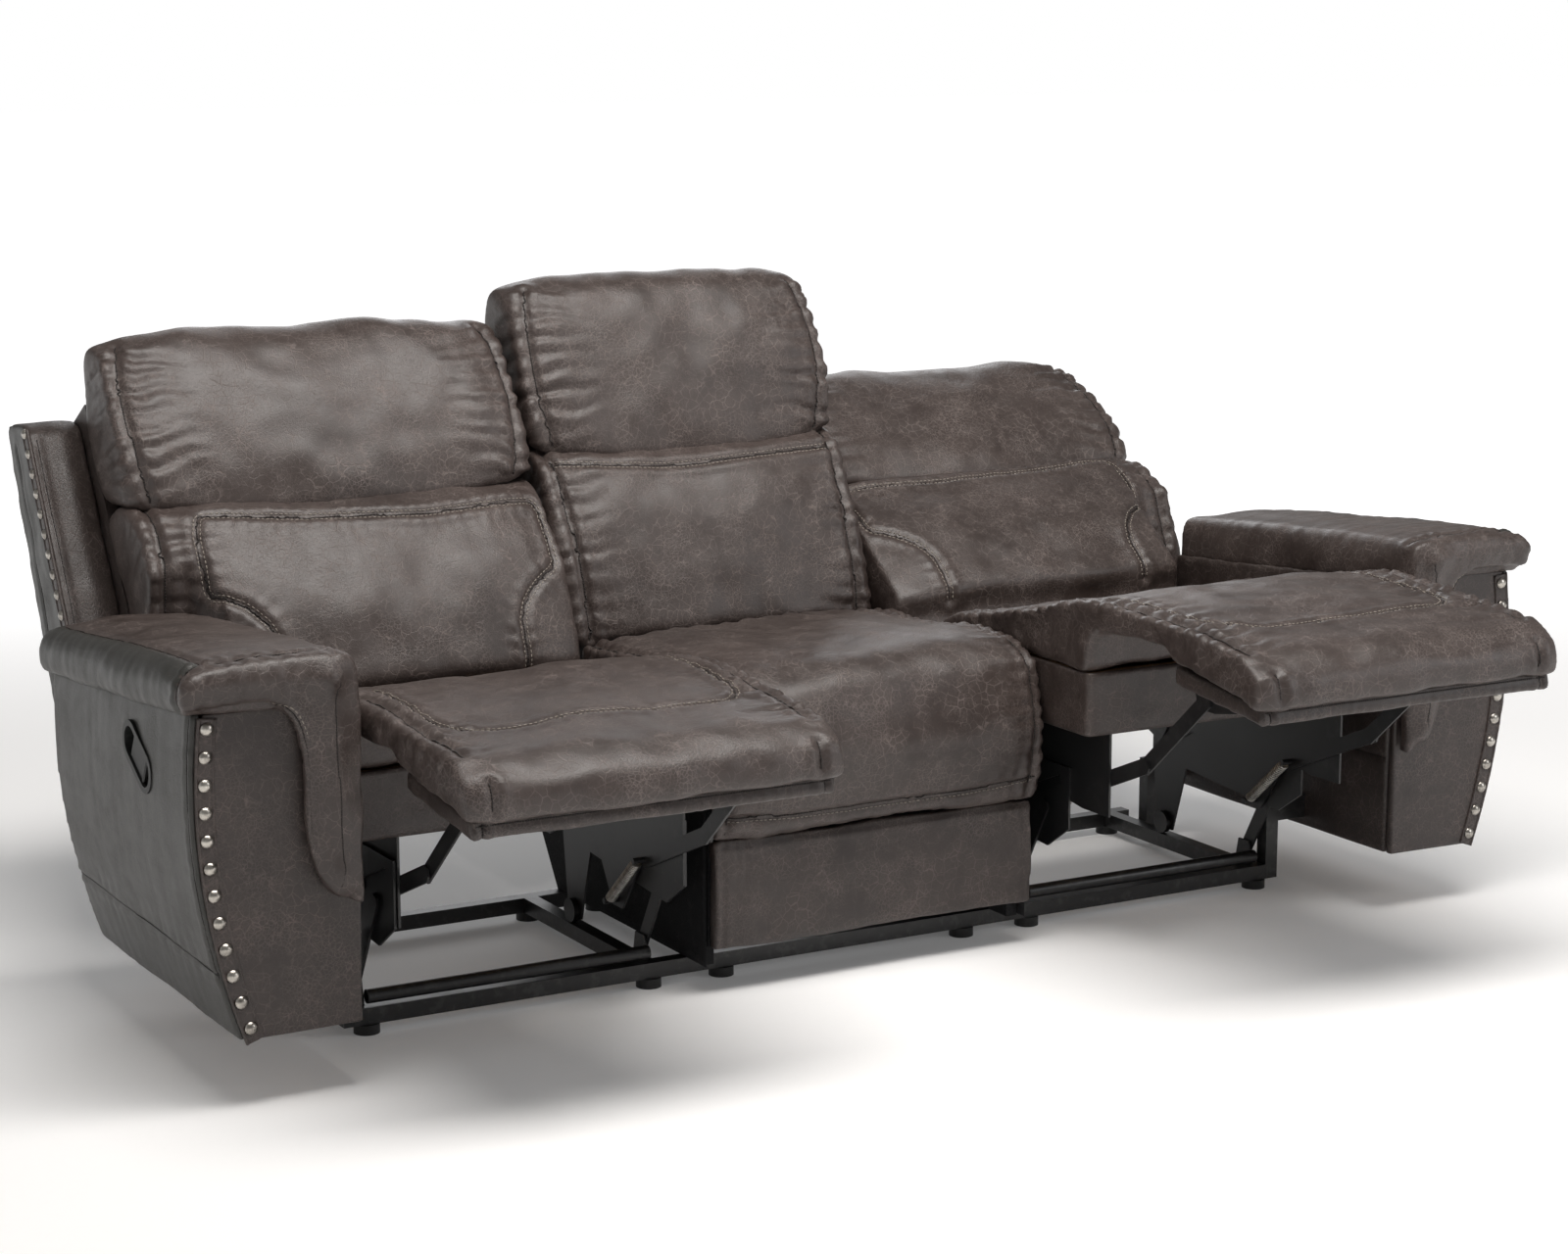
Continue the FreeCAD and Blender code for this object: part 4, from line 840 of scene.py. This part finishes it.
def handle_hole(points):
    """The slanting oval cut-out for the handle's cup: two half circles about a straight middle."""
    slope, half, radius = math.radians(30), 33, 29
    back, up = points[:, 1] + 190, points[:, 2] - 468
    along = back * math.cos(slope) + up * math.sin(slope)
    rise = up * math.cos(slope) - back * math.sin(slope)
    spread = np.clip(np.abs(along) - half, 0, None)
    return spread ** 2 + rise ** 2 < radius ** 2


def pad_top(row, share):
    """The pad follows the arm's slope, and is fullest halfway along it."""
    row = row.copy()
    row[:, 2] = arm_top(row[:, 0]) + row[:, 2] + 5 * (1 - share ** 2) * np.clip(row[:, 2] / 60, 0, 1)
    return row


nail_rises = [116 + 39 * count for count in range(12)]
strip_rises = np.linspace(97, 560, 40)
nail_inset = 22
across_arm = (1, 0, 2)
for side, hand in ((-1, "left"), (1, "right")):
    put = arm_place(side)
    heights = np.linspace(98, 566, 14)
    outline = [(arm_edge(rise) - 1, rise) for rise in heights]
    outline += [(arm_edge(rise, 13), rise) for rise in heights[::-1]]
    panel = Cover(f"{hand}_arm_side_cover", [carried(outline, -399, 205, 3.0, under_pad, 22, across_arm)], 5.0, 3)
    panel.lumps((90, 170, 380), 2.0, side)
    panel.lumps((60, 26, 230), 0.7, side + 3)
    front_seam = panel.trace([(1400, -384, 561), (1400, -386, 480), (1400, -390, 340), (1400, -394, 215),
                              (1400, -396, 190)], INWARD, bend=40)
    hem = panel.trace([(1400, -396, 196), (1400, -100, 202), (1400, 200, 204)], INWARD)
    for seam in (hem, front_seam):
        panel.work(seam, gathers=[(0.9, 26, 38, side)], draw=(2.4, 4, 0.9), fold=fine_shade_fold)
    panel.opening(handle_hole)
    panel.place(put, "base", side_hide, "side_leather")

    inner_outline = [(-384, 98), (220, 98), (220, arm_top(220) + 3), (-384, arm_top(-384) + 3)]
    lining = Cover(f"{hand}_arm_lining", [carried(inner_outline, 927, 940, 4.0)], 5.0, 3)
    lining.lumps((60, 150, 200), 2.4, side + 9)
    seam = lining.trace([(800, -380, 262), (800, 216, 262)], (1, 0, 0))
    lining.work(seam, draw=(2.0, 4, 0.8), fold=fine_shade_fold)
    lining.place(put, "base", panel_hide, "panel_leather")

    face_outline = [(927, 98)] + [(arm_edge(rise, 14), rise) for rise in heights] + [(927, 566)]
    face = Cover(f"{hand}_arm_face", [carried(face_outline, -400, -385, 3.0, None, 4, across_arm)], 5.0, 3)
    face.lumps((120, 60, 150), 3.0, side + 2)
    face.place(put, "base", panel_hide, "panel_leather")

    rear_heights = np.linspace(99, 515, 12)
    tail_outline = [(940, 99)] + [(arm_edge(rise, 15), rise) for rise in rear_heights] + [(940, 515)]
    tail = Cover(f"{hand}_arm_rear_cover", [carried(tail_outline, 206, 219, 3.0, None, 4, across_arm)], 5.0, 3)
    tail.lumps((90, 60, 190), 2.6, side + 6)
    tail.place(put, "base", side_hide, "side_leather")

    line = [(arm_edge(rise, nail_inset), -401.2, rise) for rise in strip_rises]
    steps = np.concatenate([[0], np.cumsum(np.linalg.norm(np.diff(np.array(line), axis=0), axis=1))])
    spots = [np.interp(rise, strip_rises, steps) for rise in nail_rises]
    ribbon(f"{hand}_arm_strip", line, (0, -1, 0), 28, "base", put, spots)
    nails = [(arm_edge(rise, nail_inset), -403.2, rise) for rise in nail_rises]
    nail_row(f"{hand}_arm_nail_row", nails, (0, -1, 0), 9.3, "base", put, "arm_nails")

    outline = [(930, -7), (1186, -2), (1192, 34), (1176, 66), (1060, 76), (944, 68), (931, 36)]
    roll_outline = [(932, 276), (946, 284), (996, 322), (1014, 380), (1014, 488), (1026, 548), (1060, 582),
                    (1186, 574), (1190, 604), (1168, 628), (1060, 640), (940, 632), (931, 600)]
    roll_corners = [14, 20, 24, 40, 40, 30, 30, 12, 20, 26, 60, 30, 12]
    pad = Cover(f"{hand}_arm_pad_cover",
                [carried(outline, -404, 217, [4, 16, 20, 26, 60, 26, 16], pad_top, 17, across_arm),
                 carried(roll_outline, -427, -402, roll_corners, None, 5, across_arm)], 5.5, 9)
    pad.lumps((70, 160, 60), 4.0, side + 1)
    pad.lumps((60, 22, 40), 1.6, side + 2)
    top_cap = pad.trace([(1172, -398, 900), (1060, -398, 900), (946, -398, 900)], DOWN)
    pad.work(top_cap, gathers=[(2.6, 34, 26, side)], draw=(3.4, 5, 1.6), fold=fine_shade_fold)
    side_cap = pad.trace([(1500, -398, 640), (1500, -398, 574)], INWARD)
    pad.work(side_cap, gathers=[(2.6, 34, 22, side)], draw=(3.4, 5, 1.6), fold=fine_shade_fold)
    long_seam = pad.trace([(1150, -392, 900), (1152, 190, 900)], DOWN)
    pad.work(long_seam, draw=(3.0, 5, 1.2), fold=fine_shade_fold)
    edge = pad.trace([(1160, -800, 578), (1064, -800, 576), (1030, -800, 562), (1015, -800, 530), (1008, -800, 486),
                      (1008, -800, 384), (992, -800, 330), (950, -800, 292)], AHEAD, bend=26)
    pad.work(edge, draw=(3.0, 5, 1.2), fold=1.1, sew=[5])
    middle_seam = pad.trace([(975, -800, 600), (972, -800, 540), (970, -800, 420), (966, -800, 312)], AHEAD, bend=30)
    pad.draw_in(middle_seam, -11, 24)
    cap = pad.trace([(1172, -800, 607), (1060, -800, 610), (985, -800, 604)], AHEAD)
    pad.draw_in(cap, -9, 20)
    pad.gather(cap, 1.6, 30, 27, seed=side + 8)
    pad.work(middle_seam, draw=(4.0, 5, 1.4), fold=1.0)
    pad.panel(side_hide, lambda points, normals: (points[:, 0] > 1151) & (points[:, 1] > -398))
    pad.place(put, "base", cushion_hide, "cushion_leather", 0.8, [f"{hand}_arm_pad"])
for stand_in, panels in (("arm_side_cover", "arm_outer_panels"), ("arm_face", "arm_front_panels"),
                         ("arm_lining", "arm_inner_panels"), ("arm_strip", "arm_nail_strips")):
    for hand in ("left", "right"):
        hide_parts(panels)


# Fixed centre seat: a board box closed with black cloth at its sides, a waterfall cushion that rolls over the
# front board, and a puckered leather apron below it that hides the base.
def dust_cloth(name):
    """Black non-woven lining, stapled flat, with its pressed dots and a little lint."""
    finish = Finish(name, {"Specular IOR Level": 0.25})
    dots = finish.add("ShaderNodeTexVoronoi", {"feature": "F1"}, {"Vector": finish.place, "Scale": 480.0})
    lint = finish.step(finish.clouds(50, 6, 0.7), 0.52, 0.72)
    return finish.wear(finish.tint(lint * 0.6, (0.010, 0.010, 0.011), (0.028, 0.028, 0.03)),
                       0.72 + dots * 0.2, dots, 0.0006, 0.6)


lining_cloth = dust_cloth("black_dust_cloth")
straight = arm_place(1)


def waterfall(row, share):
    """The cushion's top crowns and its front rolls forward in the middle."""
    row = row.copy()
    row[:, 2] += 16 * (1 - share ** 4) * np.clip((row[:, 2] - 420) / 70, 0, 1)
    front = np.clip((-row[:, 1] - 200) / 60, 0, 1) * np.clip((row[:, 2] - 240) / 120, 0, 1)
    row[:, 1] -= 26 * (1 - share ** 4) * front
    return row


outline = [(-272, 246), (-246, 246), (-246, 398), (190, 398), (190, 478), (-130, 500), (-246, 492), (-292, 400)]
seat = Cover("centre_seat_cover",
             [carried(outline, -297, 297, [8, 4, 6, 8, 16, 60, 60, 110], waterfall, 21)], 6.0, 18)
for place in nodes["centre_seat_frame"].material_slots:
    place.material = lining_cloth
seat.lumps((150, 130, 110), 8, 4)
seat.lumps(46, 2.6, 8)
for end in (-278, 278):
    for seam in (seat.trace([(end, 180, 900), (end, -262, 900)], DOWN),
                 seat.trace([(end, -800, 480), (end, -800, 256)], AHEAD)):
        seat.work(seam, gathers=[(3.8, 48, 28, end)], draw=(5, 6, 2.2), fold=deep_shade_fold)
low_seam = seat.trace([(-286, -800, 284), (-120, -800, 276), (120, -800, 276), (286, -800, 284)], AHEAD, bend=60)
seat.work(low_seam, gathers=[(2.2, 26, 30, 2)], draw=(5, 6, 2), fold=deep_shade_fold, sew=[4.5])
rear_tuck = seat.trace([(-270, 158, 900), (270, 158, 900)], DOWN)
seat.gather(rear_tuck, 3.5, 60, 44, seed=5)
seat.place(straight, "base", cushion_hide, "cushion_leather", 0.75, ["centre_seat_cushion"])

outline = [(-262, 72), (-245, 72), (-245, 244), (-262, 244), (-268, 160)]
apron = Cover("centre_apron_cover", [carried(outline, -291, 291, [6, 3, 3, 8, 60])], 5.0, 4)
apron.lumps((170, 60, 80), 5, 1)
apron.lumps((36, 30, 46), 1.6, 3)
for end in (-1, 1):
    tuck = apron.trace([(end * 284, -800, 238), (end * 236, -800, 240)], AHEAD)
    apron.gather(tuck, 3.6, 52, 15, seed=end)
    corner = apron.trace([(end * 278, -800, 236), (end * 278, -800, 78)], AHEAD)
    apron.draw_in(corner, 2.0, 4, 0.8)
top_welt = apron.trace([(-285, -800, 238), (285, -800, 238)], AHEAD)
apron.draw_in(top_welt, 3, 4, 1)
apron.place(straight, "base", panel_hide, "panel_leather", 0.9, ["centre_apron"])


def sheet(name, points, columns, put, material, thick, body):
    """A piece of hide or cloth laid out as rows of points, with its own thickness."""
    piece = finished(name, put(np.array(points)), grid(len(points) // columns, columns), material)
    flipped(piece, put)
    backed(piece, thick)
    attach(piece, body)


def hung_cloth(name, corners, rows, columns, sag, put):
    """A sheet stretched between four corners, with slack and small ripples between its staples."""
    one, two, three, four = [np.array(corner, float) for corner in corners]
    out = np.cross(two - one, four - one)
    out /= np.linalg.norm(out)
    points = []
    for down in np.linspace(0, 1, rows):
        for across in np.linspace(0, 1, columns):
            spot = (one * (1 - across) + two * across) * (1 - down) + (four * (1 - across) + three * across) * down
            slack = 16 * down * (1 - down) * across * (1 - across)
            ripple = noise.noise(Vector(spot / 45.0)) * 1.6 * min(1.0, slack * 2)
            points.append(spot + out * (sag * slack + ripple))
    sheet(name, points, columns, put, lining_cloth, 0.8, "base")


for hand, side in (("left", -1), ("right", 1)):
    corners = [(294.5, -241, 396), (294.5, 190, 396), (294.5, 190, 42), (294.5, -241, 42)]
    hung_cloth(f"centre_{hand}_side_cloth", corners, 24, 28, 1.2, arm_place(side))


# Reclining seats: a board box wrapped in leather, with a long chaise pad that runs from the seat on to the
# footrest's board. It is one cover, gathered along both sides and stitched with a wide U near its front roll.
def box_wrap(name, body, put):
    """Leather pulled round the seat box's front and sides, turned under and tacked."""
    path = [(-302.8, 146)] + [(-302.8, y) for y in np.linspace(130, -280, 60)]
    path += [(-302.8 + 10 * (1 - math.cos(t)), -282 - 10 * math.sin(t)) for t in np.linspace(0.2, math.pi / 2, 6)]
    path += [(x, -292.0) for x in np.linspace(-286, 286, 90)]
    path += [(292.8 + 10 * math.sin(t), -282 - 10 * math.cos(t)) for t in np.linspace(0, math.pi / 2 - 0.2, 6)]
    path += [(302.8, y) for y in np.linspace(-280, 146, 60)]
    path = np.array(path)
    forward = np.gradient(path, axis=0)
    forward /= np.linalg.norm(forward, axis=1)[:, None] + 1e-9
    out = np.column_stack([-forward[:, 1], forward[:, 0]]) * -1
    rows = [(-16, 328.6), (-8, 328.4), (-1.5, 328.8), (0.3, 331), (0.9, 336)]
    rows += [(1.0, rise) for rise in np.linspace(341, 424, 18)] + [(0.6, 429), (-0.8, 432)]
    points = []
    for inset, rise in rows:
        for (x, y), (across, back) in zip(path, out):
            wave = noise.noise(Vector((x / 60, y / 60, rise / 34))) * 2.2 if inset > 0 else 0
            pucker = math.sin((x + y) / 5.2) * 0.8 * math.exp(-(430 - rise) / 16) if 300 < rise < 430 else 0
            reach = inset + max(0.0, 1.2 + wave + pucker) * (inset > 0)
            points.append((x + across * reach, y + back * reach, rise))
    sheet(name, points, len(path), put, panel_hide, 1.0, body)


def chaise_shape(row, share):
    """The pad crowns across its width, its front roll swells, and it narrows a little on to the footrest."""
    row = row.copy()
    top = np.clip((row[:, 2] - 490) / 40, 0, 1)
    row[:, 2] += 8 * (1 - share ** 2) * top
    front = np.clip((-row[:, 1] - 620) / 70, 0, 1)
    row[:, 1] -= 12 * (1 - share ** 2) * front
    taper = 1 - 0.055 * np.clip((-row[:, 1] - 270) / 120, 0, 1)
    row[:, 0] *= taper
    return row


for hand, side, back, up in (("left", -1, 0, 0), ("right", 1, -100, 40)):
    def put(points, side=side, back=back, up=up):
        return np.column_stack([side * (seat_middle + points[:, 0]), points[:, 1] + back, points[:, 2] + up])

    box_wrap(f"{hand}_seat_box_cover", f"{hand}_seat", put)
    outline = [(-286, 433), (144, 433), (140, 446), (112, 462), (-120, 510), (-290, 548), (-500, 538), (-664, 522),
               (-709, 490), (-708, 446), (-690, 444), (-664, 457), (-484, 481), (-470, 499), (-298, 499)]
    corners = [6, 6, 8, 30, 80, 60, 80, 44, 30, 10, 10, 10, 10, 10, 6]
    pad = Cover(f"{hand}_chaise_pad", [carried(outline, -309, 309, corners, chaise_shape, 23)], 6.0, 16)
    pad.lumps((130, 150, 110), 7, side)
    pad.lumps((46, 42, 46), 2.6, side + 4)
    for end in (-1, 1):
        line = [(end * 286, 90, 900), (end * 286, -270, 900), (end * 269, -400, 900), (end * 266, -650, 900)]
        seam = pad.trace(line, DOWN, bend=40)
        pad.work(seam, gathers=[(4.2, 58, 34, end + side)], draw=(5, 6, 2.4), fold=deep_shade_fold)
        tuck = pad.trace([(end * 252, -900, 500), (end * 250, -900, 462)], (0, 1, 0))
        pad.work(tuck, gathers=[(3.0, 26, 12, end)], draw=(6, 6, 2), fold=deep_shade_fold)
    half = [(232, -250, 900), (236, -330, 900), (240, -470, 900), (222, -520, 900), (178, -552, 900)]
    seam = pad.trace([(-x, y, z) for x, y, z in half] + half[::-1], DOWN, bend=26)
    pad.work(seam, gathers=[(1.6, 26, 30, side + 2)], draw=(4.5, 6, 2), fold=deep_shade_fold, sew=[4.5, -4.5])
    made = pad.place(put, None, cushion_hide, "cushion_leather", 0.75,
                     [f"{hand}_seat_cushion", f"{hand}_footrest_pad"])
    middle = side * seat_middle / 1000
    for thing in made:
        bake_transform(thing)

    outline = [(-700, 420), (-483, 447), (-483, 476), (-700, 449)]
    board = Cover(f"{hand}_footrest_skirt", [carried(outline, -279, 279, [5, 5, 5, 6])], 5.0, 3)
    board.lumps((90, 60, 40), 2.6, side)
    welt = board.trace([(-272, -1000, 441), (272, -1000, 441)], AHEAD)
    board.work(welt, gathers=[(1.8, 16, 20, side)], draw=(2.4, 4, 1.2), fold=deep_shade_fold)
    for end in (-1, 1):
        corner = board.trace([(end * 262, -1000, 444), (end * 262, -1000, 422)], AHEAD)
        board.work(corner, draw=(2.4, 4, 1), fold=deep_shade_fold)
    board.place(put, f"{hand}_footrest", panel_hide, "panel_leather", 0.95, [f"{hand}_footrest_board"])
